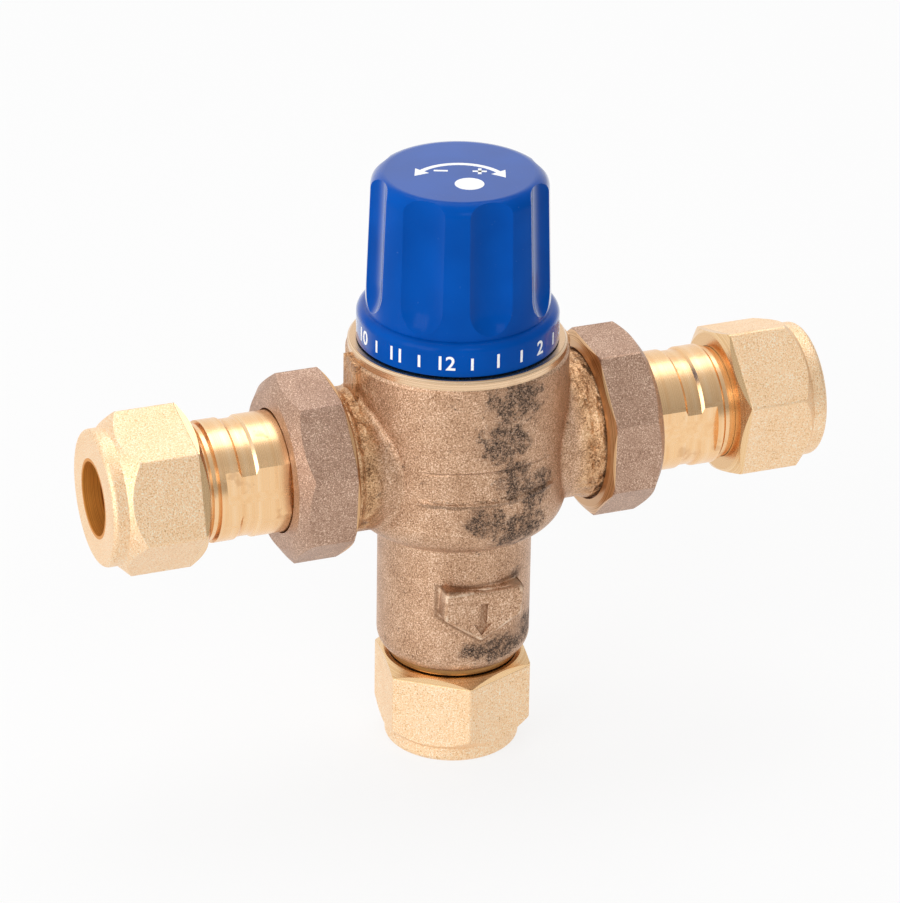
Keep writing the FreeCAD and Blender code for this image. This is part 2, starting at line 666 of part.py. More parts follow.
def inlet_tail(side):
    """Turned tail: flange, barrel with groove and wrench flats, thread, tube socket."""
    label = side + "_inlet_tail"
    groove_half = s.tail_groove_width / 2
    groove_floor = s.tail_radius - s.tail_groove_depth
    groove_place = tail_barrel_end - s.tail_groove_inset
    ring_end = tail_barrel_end + s.inner_groove_width + s.ring_width
    body = turned(label, [
        (s.cartridge_bore, tail_start),
        (s.tail_flange, tail_start),
        (s.tail_flange, tail_shoulder),
        (s.tail_radius, tail_shoulder),
        (s.tail_radius, groove_place - groove_half - s.tail_groove_slope),
        (groove_floor, groove_place - groove_half),
        (groove_floor, groove_place + groove_half),
        (s.tail_radius, groove_place + groove_half + s.tail_groove_slope),
        (s.tail_radius, tail_barrel_end),
        (s.runout_radius, tail_barrel_end),
        (s.runout_radius, tail_barrel_end + s.inner_groove_width),
        (s.runout_ring, tail_barrel_end + s.inner_groove_width),
        (s.runout_ring, ring_end),
        (s.runout_radius, ring_end),
        (s.runout_radius, ring_end + s.runout_width),
        (s.thread_radius, ring_end + s.runout_width),
        (s.thread_radius, spigot_end),
        (s.mouth_radius, spigot_end),
        (s.tube_bore, spigot_end - s.mouth_length),
        (s.tube_bore, spigot_end - s.socket_depth),
        (s.stop_bore, spigot_end - s.socket_depth),
        (s.stop_bore, cartridge_end),
        (s.cartridge_bore, cartridge_end),
    ])
    sketch = sketch_outline(body, label + "_flats_outline", "YZ_Plane", box_corners(
        s.flat_across / 2, tail_start + s.flat_inset, s.tail_radius + TOOL_SPARE,
        tail_barrel_end - s.flat_outset))
    flats = body.newObject("PartDesign::Pocket", label + "_flats")
    flats.Profile = sketch
    flats.Midplane = True
    flats.Type = "ThroughAll"
    repeated(body, flats, 2)
    return on_arm(body, side, TAIL_TURN[side])


def union_washer(side):
    return on_arm(turned(side + "_union_washer", box_corners(
        s.washer_hole, port_end, s.port_thread - s.washer_margin, tail_start)), side)


def strainer(side):
    """Basket that catches grit, its rim held in the port by the union washer."""
    label = side + "_strainer"
    floor = port_end - s.strainer_length
    rim = port_end - s.strainer_rim_length
    inside = s.strainer_radius - s.strainer_wall
    body = turned(label, [
        (0, floor), (s.strainer_radius, floor), (s.strainer_radius, rim),
        (s.strainer_rim, rim), (s.strainer_rim, port_end), (inside, port_end),
        (inside, floor + s.strainer_wall), (0, floor + s.strainer_wall),
    ])
    half = s.strainer_slot / 2
    cut = slot(body, label + "_slot", box_corners(
        -half, floor + s.strainer_slot, half, rim - s.strainer_slot))
    repeated(body, cut, 6, 150)
    return on_arm(body, side)


def check_housing(side):
    groove_half = GROOVE_HALF * s.housing_seal_wire
    middle = housing_end - s.housing_seal_inset
    floor = s.cartridge_bore - GROOVE_FLOOR * s.housing_seal_wire
    return on_arm(turned(side + "_check_housing", [
        (s.cartridge_room, housing_start),
        (housing_radius, housing_start),
        (housing_radius, middle - groove_half),
        (floor, middle - groove_half),
        (floor, middle + groove_half),
        (housing_radius, middle + groove_half),
        (housing_radius, housing_end),
        (s.cartridge_seat, housing_end),
        (s.cartridge_seat, seat_plane),
        (s.cartridge_room, seat_plane),
    ]), side)


def check_seal(side):
    item = ring(side + "_check_seal", s.cartridge_bore - SEAL_LINE * s.housing_seal_wire,
                s.housing_seal_wire)
    place = (housing_end - s.housing_seal_inset) * OUTWARD[side]
    return aim(item, OUTWARD[side], place)


def check_guide(side):
    """Three-spoked guide for the poppet's stem, pressed into the housing's inner end."""
    label = side + "_check_guide"
    rim = s.cartridge_room - s.seat_fit
    stem_bore = s.stem_radius + s.stem_gap
    body = turned(label, box_corners(
        stem_bore, housing_start, s.guide_hub, housing_start + s.guide_hub_length))
    spoke = slot(body, label + "_spoke", box_corners(
        stem_bore + s.spoke_width / 4, housing_start, rim, housing_start + s.guide_thickness),
        s.spoke_width, added=True)
    repeated(body, spoke, 3)
    return on_arm(body, side)


def check_poppet(side):
    return on_arm(turned(side + "_check_poppet", [
        (0, housing_start),
        (s.stem_radius, housing_start),
        (s.stem_radius, poppet_back),
        (s.poppet_radius, poppet_back),
        (s.poppet_radius, poppet_face - s.poppet_thickness / 3),
        (s.cartridge_seat, poppet_face),
        (0, poppet_face),
    ]), side)


def check_spring(side):
    return on_arm(spring(side + "_check_spring", housing_start + s.guide_hub_length, poppet_back,
                         s.check_coil, s.check_wire, s.check_turns), side)


def side_boss(side):
    """Round boss with the union's male thread at its end."""
    neck = union_inner + s.union_entry_depth / 2
    collar_start = union_inner - s.boss_collar_length
    return on_arm(turned(side + "_boss", [
        (0, s.land_radius), (s.boss_radius, s.land_radius),
        (s.boss_radius, collar_start - s.boss_flare),
        (s.boss_collar, collar_start),
        (s.boss_collar, neck), (s.port_thread, neck),
        (s.port_thread, port_end), (0, port_end),
    ]), side)


def side_port(side):
    seat = port_end - s.strainer_rim_length
    rim = s.strainer_rim + s.seat_fit
    return on_arm(turned(side + "_port", [
        (0, port_depth), (s.port_bore, port_depth), (s.port_bore, seat), (rim, seat),
        (rim, port_end + TOOL_SPARE), (0, port_end + TOOL_SPARE),
    ]), side)


def block(label, x_low, x_high, half_width, z_low, z_high):
    """A square block, even about the XZ plane."""
    item = doc.addObject("Part::Box", label)
    for name, size in (("Length", x_high - x_low), ("Width", 2 * half_width),
                       ("Height", z_high - z_low), ("Placement.Base.x", x_low),
                       ("Placement.Base.y", -half_width), ("Placement.Base.z", z_low)):
        bind(item, name, size)
    return item


def inner_window(side):
    """Opens the side port into its ring chamber: hot above the shuttle, cold below it."""
    inner, outer = s.land_radius, port_depth + s.port_floor
    if side == "hot":
        bottom = land_top + s.window_margin
        return block("hot_window", -outer, -inner, s.window_half, bottom,
                     bottom + s.window_height)
    top = land_bottom - s.window_margin
    return block("cold_window", inner, outer, s.window_half, top - s.window_height, top)


def seam_pad(side):
    """Cast pad where the mould's halves met, from the boss up to the turned rim."""
    inner, outer = s.barrel_radius - s.seam_root, s.barrel_radius + s.seam_rise
    low, high = s.inlet_height + s.boss_radius - s.seam_root, rim_bottom
    x_range = (-outer, -inner) if side == "hot" else (inner, outer)
    return block(side + "_seam", *x_range, s.seam_width / 2, low, high)


def front_plate(label, outline, root, reach):
    """A flat raised shape on the front, from root to reach in front of the vertical axis."""
    body = doc.addObject("PartDesign::Body", label)
    pad = body.newObject("PartDesign::Pad", label + "_pad")
    pad.Profile = sketch_outline(body, label + "_outline", "XZ_Plane", outline)
    bind(pad, "Length", reach - root)
    body.Placement.Rotation = FreeCAD.Rotation(FreeCAD.Vector(0, 1, 0), PLAQUE_TURN)
    bind(body, "Placement.Base.y", -root)
    bind(body, "Placement.Base.z", s.plaque_height)
    return body


def flow_plaque():
    """Raised shield on the leg's front, with rounded edges."""
    plate = front_plate("flow_plaque_square", [
        (0, -s.plaque_point), (s.plaque_half, -s.plaque_side), (s.plaque_half, s.plaque_top),
        (-s.plaque_half, s.plaque_top), (-s.plaque_half, -s.plaque_side),
    ], s.plaque_root, s.plaque_reach)
    return filleted("flow_plaque", plate, s.plaque_round, at_plaque_face)


def at_plaque_face(edge):
    return all(abs(end.Y + s.plaque_reach.value) < 0.01 for end in edge.Vertexes)


def flow_arrow():
    top, tip = s.arrow_length / 3, -s.arrow_length * 2 / 3
    neck = tip + s.arrow_head
    return front_plate("flow_arrow", [
        (0, tip), (s.arrow_half, neck), (s.arrow_shaft, neck), (s.arrow_shaft, top),
        (-s.arrow_shaft, top), (-s.arrow_shaft, neck), (-s.arrow_half, neck),
    ], s.plaque_reach - s.arrow_depth, s.plaque_reach + TOOL_SPARE)


def band(face):
    """Shallow band across the barrel's front (-1) or back (1), fading out at the bosses.

    Its floor is a wider cylinder than the barrel, off centre, so its ends run out.
    """
    half = s.barrel_radius - s.band_margin
    front = math.sqrt(s.barrel_radius.value ** 2 - half.value ** 2)
    middle = s.barrel_radius - s.band_depth
    fall = middle - front
    floor = (half * half + fall * fall) / (2 * fall)
    low, high = band_bottom - s.band_depth, band_top + s.band_depth
    edge = floor + TOOL_SPARE
    side = "front" if face < 0 else "back"
    hoop = turned(side + "_band_hoop", [
        (floor, band_bottom), (floor + s.band_depth, low), (edge, low), (edge, high),
        (floor + s.band_depth, high), (floor, band_top),
    ])
    bind(hoop, "Placement.Base.y", face * (middle - floor))
    width = doc.addObject("Part::Box", side + "_band_width")
    for name, size in (("Length", 2 * half), ("Width", edge), ("Height", high - low),
                       ("Placement.Base.x", -half), ("Placement.Base.z", low),
                       ("Placement.Base.y", -edge if face < 0 else Size.of(0))):
        bind(width, name, size)
    return boolean("Common", side + "_band", hoop, width)


def valve_body():
    """One bronze casting: barrel, outlet leg, side bosses, seam pads and flow plaque."""
    casting = turned("barrel_casting", [
        (0, s.spigot_setback),
        (s.thread_radius, s.spigot_setback),
        (s.thread_radius, s.nut_length + s.ring_gap),
        (s.ring_radius, s.nut_length + s.ring_gap),
        (s.ring_radius, s.leg_bottom),
        Arc(s.leg_foot, s.leg_bottom, s.leg_round, 1),
        (s.leg_radius, s.leg_bottom + s.leg_round_height),
        (s.leg_radius, barrel_bottom),
        Arc(s.barrel_radius - shoulder_round, barrel_bottom, shoulder_round, 1),
        (s.barrel_radius, barrel_bottom + shoulder_round),
        (s.barrel_radius, rim_bottom - s.rim_chamfer),
        (rim_radius, rim_bottom),
        (rim_radius, body_top - s.rim_chamfer),
        (rim_radius - s.rim_chamfer, body_top),
        (0, body_top),
    ])
    outside = fused("casting_outside", [casting] + [side_boss(side) for side in SIDES])
    rounded = filleted("casting_filleted", outside, s.boss_fillet, at_boss_root)
    raised = fused("casting_raised", [rounded, flow_plaque()] + [seam_pad(x) for x in SIDES])
    water_way = turned("water_way", [
        (0, s.spigot_setback - TOOL_SPARE),
        (s.mouth_radius, s.spigot_setback - TOOL_SPARE),
        (s.mouth_radius, s.spigot_setback),
        (s.tube_bore, s.spigot_setback + s.mouth_length),
        (s.tube_bore, s.spigot_setback + s.socket_depth),
        (s.stop_bore, s.spigot_setback + s.socket_depth),
        (s.stop_bore, s.throat_top),
        (s.chamber_radius, s.chamber_bottom),
        (s.chamber_radius, seat_ledge),
        (s.seat_bore, seat_ledge),
        (s.seat_bore, cold_room_bottom),
        (cold_room, cold_room_bottom),
        (cold_room, land_bottom),
        (s.land_radius, land_bottom),
        (s.land_radius, land_top),
        (top_bore, land_top),
        (top_bore, body_top - s.flange_thickness),
        (top_recess, body_top - s.flange_thickness),
        (top_recess, body_top + TOOL_SPARE),
        (0, body_top + TOOL_SPARE),
    ])
    hollow = fused("casting_hollow", [water_way, flow_arrow(), band(-1), band(1)]
                   + [side_port(side) for side in SIDES]
                   + [inner_window(side) for side in SIDES])
    return boolean("Cut", "valve_body", raised, hollow)


def at_boss_root(edge):
    """True for the edges where a side boss meets the barrel."""
    for share in (0.0, 0.25, 0.5, 0.75, 1.0):
        place = edge.valueAt(edge.FirstParameter
                             + share * (edge.LastParameter - edge.FirstParameter))
        from_arm = math.hypot(place.y, place.z - s.inlet_height.value)
        if abs(from_arm - s.boss_radius.value) > 0.01:
            return False
        if not s.land_radius.value + 0.1 < abs(place.x) < s.barrel_radius.value + 0.1:
            return False
    return True


def bonnet():
    """Headwork screwed into the top of the body; it guides the carrier and the spindle."""
    shoulder = body_top - s.flange_thickness
    flange_top = body_top - s.seat_fit
    head_top = flange_top + s.bonnet_head
    thread = top_bore - s.seat_fit
    groove = GROOVE_HALF * s.bonnet_seal_wire
    floor = top_bore - GROOVE_FLOOR * s.bonnet_seal_wire
    shape = turned("bonnet_turned", [
        (s.bonnet_tube_bore, hot_seat_face + s.hot_seat_thickness),
        (s.bonnet_tube, hot_seat_face + s.hot_seat_thickness),
        (s.bonnet_tube, bonnet_tube_top),
        (thread, bonnet_tube_top),
        (thread, bonnet_seal_height - groove),
        (floor, bonnet_seal_height - groove),
        (floor, bonnet_seal_height + groove),
        (thread, bonnet_seal_height + groove),
        (thread, shoulder),
        (top_recess - s.seat_fit, shoulder),
        (top_recess - s.seat_fit, flange_top),
        (s.bonnet_across / (2 * HEX_ROUND), flange_top),
        (s.bonnet_across / (2 * HEX_ROUND), head_top),
        (s.neck_radius, head_top),
        (s.neck_radius, neck_top),
        (s.spindle_radius + s.spindle_gap, neck_top),
        (s.spindle_radius + s.spindle_gap, guide_top),
        (s.guide_bore, guide_top),
        (s.guide_bore, guide_bottom),
        (s.bonnet_tube_bore, guide_bottom),
    ])
    ways = slot(shape, "key_ways", box_corners(
        -s.key_reach - s.key_gap, guide_bottom - s.key_gap,
        s.key_reach + s.key_gap, guide_top - s.spindle_flange_thickness),
        s.key_width + 2 * s.key_gap)
    shape.Tip = ways
    spare = rounded_bar("bonnet", 6, s.bonnet_across, HEX_ROUND, neck_top - flange_top,
                        s.nut_edge)
    stand(spare.Base, flange_top)
    lower = doc.addObject("Part::Cylinder", "bonnet_below_hexagon")
    bind(lower, "Radius", top_recess)
    bind(lower, "Height", flange_top - hot_seat_face)
    stand(lower, hot_seat_face)
    return boolean("Common", "bonnet", fused("bonnet_bar", [spare, lower]), shape)


def bonnet_seal():
    item = ring("bonnet_seal", top_bore - SEAL_LINE * s.bonnet_seal_wire, s.bonnet_seal_wire)
    return stand(item, bonnet_seal_height)


def hot_seat():
    """Ring pushed into the bonnet's tube; the shuttle's upper edge closes on it."""
    top = hot_seat_face + s.hot_seat_thickness
    sleeve = s.bonnet_tube_bore - s.seat_fit
    return turned("hot_seat", [
        (s.hot_seat_bore, hot_seat_face), (s.hot_seat_flange, hot_seat_face),
        (s.hot_seat_flange, top), (sleeve, top), (sleeve, top + s.hot_seat_sleeve),
        (s.hot_seat_bore, top + s.hot_seat_sleeve),
    ])


def cold_seat():
    """Ring on the body's ledge; the shuttle's lower edge closes on its top."""
    foot = s.seat_bore - s.seat_fit
    return turned("cold_seat", [
        (s.shelf_bore, seat_ledge), (foot, seat_ledge),
        (foot, seat_ledge + s.cold_seat_foot),
        (s.cold_seat_tube, seat_ledge + s.cold_seat_foot),
        (s.cold_seat_tube, cold_seat_top), (s.cold_seat_bore, cold_seat_top),
        (s.cold_seat_bore, seat_ledge + s.cold_seat_shelf),
        (s.shelf_bore, seat_ledge + s.cold_seat_shelf),
    ])


def shuttle():
    """Ring that shares out hot and cold water; its web carries the wax element."""
    outside = s.land_radius - s.shuttle_gap
    groove = GROOVE_HALF * s.shuttle_seal_wire
    floor = s.land_radius - GROOVE_FLOOR * s.shuttle_seal_wire
    body = turned("shuttle", [
        (s.shuttle_bore, shuttle_bottom), (outside, shuttle_bottom),
        (outside, shuttle_middle - groove), (floor, shuttle_middle - groove),
        (floor, shuttle_middle + groove), (outside, shuttle_middle + groove),
        (outside, shuttle_top), (s.shuttle_bore, shuttle_top),
    ])
    hole = s.element_guide + s.seat_fit
    rib = slot(body, "shuttle_spoke", box_corners(
        hole + s.seat_fit, web_bottom, s.shuttle_bore + s.seat_fit, web_top),
        s.web_spoke, added=True)
    rib.Midplane = True
    repeated(body, rib, 4)
    hub = body.newObject("PartDesign::Revolution", "shuttle_hub")
    hub.Profile = sketch_outline(body, "shuttle_hub_outline", "XZ_Plane", box_corners(
        hole, web_bottom, s.hub_radius, web_top))
    hub.ReferenceAxis = (hub.Profile[0], ["V_Axis"])
    hub.Angle = 360
    return body


def shuttle_seal():
    item = ring("shuttle_seal", s.land_radius - SEAL_LINE * s.shuttle_seal_wire,
                s.shuttle_seal_wire)
    return stand(item, shuttle_middle)


def return_spring():
    """Lifts the shuttle towards the hot seat as the element cools."""
    return spring("return_spring", seat_ledge + s.cold_seat_shelf, web_bottom,
                  s.return_coil, s.return_wire, s.return_turns)


def wax_element():
    """Sensing cup, collar under the shuttle's web, and guide for the push pin."""
    cup_bottom = collar_bottom - s.element_cup_length
    cup_round = s.element_cup / 2
    guide_end = web_bottom + s.element_guide_length
    bore = s.pin_radius + s.pin_gap
    return turned("wax_element", [
        (0, cup_bottom),
        Arc(s.element_cup - cup_round, cup_bottom, cup_round, 1),
        (s.element_cup, cup_bottom + cup_round),
        (s.element_cup, collar_bottom), (s.element_collar, collar_bottom),
        (s.element_collar, web_bottom), (s.element_guide, web_bottom),
        (s.element_guide, guide_end - s.pin_radius / 2),
        (s.element_guide - s.pin_radius / 2, guide_end),
        (bore, guide_end),
        (bore, web_bottom - s.pin_foot - s.pin_room),
        (0, web_bottom - s.pin_foot - s.pin_room),
    ])


def push_pin():
    """Steel pin that the wax drives out against the overtravel button."""
    foot, top = web_bottom - s.pin_foot, button_bottom + s.button_socket
    edge = s.pin_radius / 4
    return turned("push_pin", [
        (0, foot), (s.pin_radius - edge, foot), (s.pin_radius, foot + edge),
        (s.pin_radius, top - edge), (s.pin_radius - edge, top), (0, top),
    ])


def overtravel_button():
    """Carries the pin's thrust to the overtravel spring."""
    socket = s.pin_radius + s.pin_gap
    rim = s.carrier_room - s.button_gap
    return turned("overtravel_button", [
        (socket, button_bottom), (rim, button_bottom), (rim, button_top),
        (s.button_boss, button_top), (s.button_boss, button_top + s.button_boss_height),
        (0, button_top + s.button_boss_height), (0, button_bottom + s.button_socket),
        (socket, button_bottom + s.button_socket),
    ])


def overtravel_spring():
    return spring("overtravel_spring", button_top, carrier_ceiling, s.overtravel_coil,
                  s.overtravel_wire, s.overtravel_turns)


def overtravel_carrier():
    """Cup that the spindle's thread raises and lowers; two keys stop it turning."""
    radius = s.guide_bore - s.carrier_gap
    thread = s.spindle_thread + s.thread_gap
    groove = s.carrier_room + s.clip_groove
    body = turned("overtravel_carrier", [
        (s.carrier_room, carrier_bottom), (radius, carrier_bottom),
        (radius, carrier_top), (thread, carrier_top), (thread, carrier_ceiling),
        (s.carrier_room, carrier_ceiling), (s.carrier_room, button_bottom),
        (groove, button_bottom), (groove, clip_bottom), (s.carrier_room, clip_bottom),
    ])
    middle = (carrier_bottom + carrier_top) / 2
    key = slot(body, "carrier_key", box_corners(
        groove + s.key_gap, middle - s.key_length / 2, s.key_reach,
        middle + s.key_length / 2), s.key_width, added=True)
    repeated(body, key, 2)
    return body


def carrier_clip():
    return split_ring("carrier_clip", s.carrier_room - 2 * s.clip_groove,
                      s.carrier_room + s.clip_groove - s.seat_fit, clip_bottom,
                      s.clip_thickness, s.key_width)


def spindle():
    """Turned spindle: splined head, neck with seal grooves, thrust flange, thread."""
    outline = [
        (0, spindle_foot), (s.spindle_thread, spindle_foot),
        (s.spindle_thread, spindle_shoulder - s.spindle_flange_thickness),
        (s.spindle_flange, spindle_shoulder - s.spindle_flange_thickness),
        (s.spindle_flange, spindle_shoulder), (s.spindle_radius, spindle_shoulder),
    ]
    for middle in (guide_top + s.seal_low, guide_top + s.seal_low + s.seal_pitch):
        low, high = middle - s.seal_groove_width / 2, middle + s.seal_groove_width / 2
        outline += [(s.spindle_radius, low), (seal_floor, low), (seal_floor, high),
                    (s.spindle_radius, high)]
    clip_low, clip_high = neck_top + s.seat_fit, neck_top + 3 * s.seat_fit + s.clip_thickness
    outline += [
        (s.spindle_radius, clip_low), (circlip_floor, clip_low), (circlip_floor, clip_high),
        (s.spindle_radius, clip_high), (s.spindle_radius, spindle_top - s.spline_depth),
        (s.spindle_radius - s.spline_depth, spindle_top), (0, spindle_top),
    ]
    body = turned("spindle", outline)
    cut = slot(body, "spindle_spline", box_corners(
        s.spindle_radius - s.spline_depth, cap_boss_bottom,
        s.spindle_radius + TOOL_SPARE, spindle_top + TOOL_SPARE), spline_width())
    repeated(body, cut, s.spline_count.value)
    return body


def spline_width():
    """Width of one spline groove: half its share of the spindle's girth."""
    return math.pi * s.spindle_radius / s.spline_count


def spindle_seal(label, height):
    depth = s.seal_groove_depth + s.spindle_gap
    wire = depth / (2 * SEAL_LINE)
    return stand(ring(label, seal_floor + SEAL_LINE * wire, wire), height)


def spindle_circlip():
    return split_ring("spindle_circlip", circlip_floor + s.seat_fit, s.clip_radius,
                      neck_top + 2 * s.seat_fit, s.clip_thickness, s.web_spoke)


def adjusting_cap():
    """Hollow moulded cap: collar, fluted grip, and a splined boss inside."""
    boss_bore = s.spindle_radius + s.cap_spline_gap
    body = turned("adjusting_cap", [
        (cap_collar - s.cap_wall, cap_bottom),
        (cap_collar, cap_bottom),
        Arc(cap_collar, collar_top - s.collar_round, s.collar_round, 1),
        (cap_collar - s.collar_round, collar_top),
        Arc(grip_head, cap_top - s.cap_round, s.cap_round, 1),
        (grip_head - s.cap_round, cap_top),
        (0, cap_top),
        (0, spindle_top + s.cap_spline_gap),
        (boss_bore, spindle_top + s.cap_spline_gap),
        (boss_bore, cap_boss_bottom),
        (s.cap_boss, cap_boss_bottom),
        (s.cap_boss, cap_top - s.cap_roof),
        (s.cap_room, cap_top - s.cap_roof),
        (s.cap_room, cap_room_bottom),
        (cap_collar - s.cap_wall, cap_room_bottom),
    ])
    rib = slot(body, "cap_spline", box_corners(
        boss_bore - s.spline_depth, cap_boss_bottom, s.spindle_radius + 2 * s.cap_spline_gap,
        spindle_top), spline_width() - 2 * s.cap_spline_gap, added=True)
    repeated(body, rib, s.spline_count.value)
    repeated(body, flute(body), s.flute_count.value)
    return body


def flute(body):
    """One hollow of the grip, facing -Y: a round cut with a round foot, leaning with the grip."""
    grip_foot = cap_collar - s.collar_round
    lean = (grip_foot - grip_head) / (cap_top - s.cap_round - collar_top)
    reach = s.flute_radius
    foot = collar_top + s.flute_foot
    axis = grip_foot - lean * s.flute_foot - s.flute_depth + reach
    rise = cap_top + TOOL_SPARE - foot
    sketch = sketch_outline(body, "grip_flute_outline", "YZ_Plane", [
        Arc(-axis - lean * reach, foot - reach, reach, 1),
        (-axis + reach, foot - lean * reach),
        (-axis + reach + lean * rise, foot - lean * reach + rise),
        (-axis + lean * rise, foot + rise),
    ])
    ends = [sketch.Geometry[3].EndPoint, sketch.Geometry[3].StartPoint]
    axis_line = sketch.addGeometry(Part.LineSegment(*ends), True)
    sketch.addConstraint(Sketcher.Constraint("Coincident", axis_line, 1, 3, 2))
    sketch.addConstraint(Sketcher.Constraint("Coincident", axis_line, 2, 3, 1))
    cut = body.newObject("PartDesign::Groove", "grip_flute")
    cut.Profile = sketch
    cut.ReferenceAxis = (sketch, ["Axis0"])
    cut.Angle = 360
    return cut


def all_pieces():
    pieces = [
        valve_body(), bonnet(), bonnet_seal(), hot_seat(), cold_seat(), shuttle(),
        shuttle_seal(), return_spring(), wax_element(), push_pin(), overtravel_button(),
        overtravel_spring(), overtravel_carrier(), carrier_clip(), spindle(),
        spindle_seal("spindle_seal_lower", guide_top + s.seal_low),
        spindle_seal("spindle_seal_upper", guide_top + s.seal_low + s.seal_pitch),
        spindle_circlip(), adjusting_cap(),
    ]
    for port in ("hot", "cold", "outlet"):
        pieces += [compression_nut(port), olive(port)]
    for side in SIDES:
        pieces += [make(side) for make in (
            union_nut, inlet_tail, union_washer, strainer, check_housing, check_seal,
            check_guide, check_poppet, check_spring)]
    return pieces


def check_document():
    doc.recompute()
    for item in doc.Objects:
        if "Invalid" in item.State or "Error" in item.State:
            raise RuntimeError("%s could not be computed" % item.Label)


def write_pieces(pieces):
    for item in pieces:
        shape = item.Shape
        if shape.isNull() or not shape.isValid() or shape.Volume <= 0:
            raise RuntimeError("%s has no sound shape" % item.Label)
    os.makedirs("parts", exist_ok=True)
    for item in pieces:
        item.Shape.exportStep("parts/%s.step" % item.Label)


made = all_pieces()
check_document()
write_pieces(made)
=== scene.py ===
import json
import math

import bpy
from mathutils import Matrix, Vector


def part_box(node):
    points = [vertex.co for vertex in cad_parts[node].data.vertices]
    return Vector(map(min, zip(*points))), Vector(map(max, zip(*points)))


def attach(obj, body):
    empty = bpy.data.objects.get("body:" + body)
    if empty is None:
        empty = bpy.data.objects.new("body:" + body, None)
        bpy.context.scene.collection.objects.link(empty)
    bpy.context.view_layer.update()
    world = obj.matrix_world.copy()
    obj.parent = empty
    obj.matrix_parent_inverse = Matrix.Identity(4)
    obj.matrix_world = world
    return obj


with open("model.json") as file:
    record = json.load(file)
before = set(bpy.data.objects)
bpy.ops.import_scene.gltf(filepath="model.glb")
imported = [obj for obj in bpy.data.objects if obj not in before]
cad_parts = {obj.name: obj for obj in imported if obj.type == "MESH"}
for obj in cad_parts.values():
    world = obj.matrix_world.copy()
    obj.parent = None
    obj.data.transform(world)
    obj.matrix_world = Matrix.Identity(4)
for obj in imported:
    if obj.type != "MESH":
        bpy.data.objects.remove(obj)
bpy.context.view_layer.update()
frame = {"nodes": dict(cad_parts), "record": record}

MM = 0.001
cap_low, cap_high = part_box("adjusting_cap")
nut_low, nut_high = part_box("hot_compression_nut")

INLET_HEIGHT = (nut_low.z + nut_high.z) / 2
COLLAR_RADIUS = cap_high.x
PRINT_SUNK = 0.05 * MM       # how deep a print is rooted in the plastic
PRINT_PROUD = 0.04 * MM      # how far it stands out
PRINT_DEPTH = PRINT_SUNK + PRINT_PROUD
PRINT_MIDDLE = (PRINT_PROUD - PRINT_SUNK) / 2

# Places and lengths on the valve, in millimetres.
ARM_END = -nut_low.x / MM
NUT_LENGTH = (nut_high.x - nut_low.x) / MM
NUT_RING = 1.45              # length of the bright ring at the nut's inner end
NUT_BORE = 7.0               # inside this radius a nut is bored bright
UNION_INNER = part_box("cold_union_nut")[0].x / MM
UNION_CHAMFER = 0.85         # length of the union nut's turned chamfer
FLAT_REACH = 9.6             # the tails' wrench flats, out from the arm's axis
RIM_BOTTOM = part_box("valve_body")[1].z / MM - 1.65
LEG_BOTTOM = 18.45
BOSS_START = 18.6            # out from the valve's axis
LEDGE_HEIGHT = 55.1
CREASE_HEIGHT = 60.6
SHIELD_HEIGHT = 31.2         # middle of the flow shield
SHIELD_BACK = -11.35
SHIELD_THICKNESS = 3.5
ARROW_FLOOR = -14.62         # the sunk flow arrow lies behind this


# ---------------------------------------------------------------- finishes

class Value:
    """One output of a node. It takes part in ordinary arithmetic."""

    def __init__(self, nodes, output):
        self.nodes = nodes
        self.output = output

    def maths(self, operation, *values):
        return self.nodes.node("ShaderNodeMath", {"operation": operation},
                               dict(enumerate(values)))

    def __add__(self, other):
        return self.maths("ADD", self, other)

    def __sub__(self, other):
        return self.maths("SUBTRACT", self, other)

    def __mul__(self, other):
        return self.maths("MULTIPLY", self, other)

    def __truediv__(self, other):
        return self.maths("DIVIDE", self, other)

    def __radd__(self, other):
        return self.maths("ADD", other, self)

    def __rsub__(self, other):
        return self.maths("SUBTRACT", other, self)

    def __rmul__(self, other):
        return self.maths("MULTIPLY", other, self)

    def size(self):
        return self.maths("ABSOLUTE", self)

    def or_more(self, other):
        """The larger of two values."""
        return self.maths("MAXIMUM", self, other)

    def above(self, edge, blur):
        """0 below the edge and 1 above it, with a soft step as wide as blur."""
        return self.nodes.node("ShaderNodeMapRange", {"interpolation_type": "SMOOTHSTEP"}, {
            "Value": self, "From Min": edge - blur / 2, "From Max": edge + blur / 2})

    def below(self, edge, blur):
        """1 below the edge and 0 above it."""
        return 1 - self.above(edge, blur)


class Nodes:
    """The nodes of one material or world."""

    def __init__(self, tree):
        self.tree = tree

    def node(self, kind, settings=None, values=None, output=0):
        """Adds a node, gives it its settings, then its values or links."""
        made = self.tree.nodes.new(kind)
        for name, setting in (settings or {}).items():
            if name == "stops":
                self.set_stops(made.color_ramp, setting)
            else:
                setattr(made, name, setting)
        for name, value in (values or {}).items():
            self.feed(made.inputs[name], value)
        return Value(self, made.outputs[output]) if made.outputs else None

    @staticmethod
    def set_stops(ramp, stops):
        while len(ramp.elements) < len(stops):
            ramp.elements.new(0.5)
        for element, (position, colour) in zip(ramp.elements, stops):
            element.position = position
            element.color = (*colour, 1)

    def feed(self, socket, value):
        """Links a value to a socket, or sets the socket to a constant."""
        if isinstance(value, Value):
            self.tree.links.new(value.output, socket)
        elif socket.type == "RGBA":
            socket.default_value = (*value, 1)
        else:
            socket.default_value = value

    def rays(self, kind):
        """1 for rays of one kind and 0 for all others."""
        return self.node("ShaderNodeLightPath", output=kind)


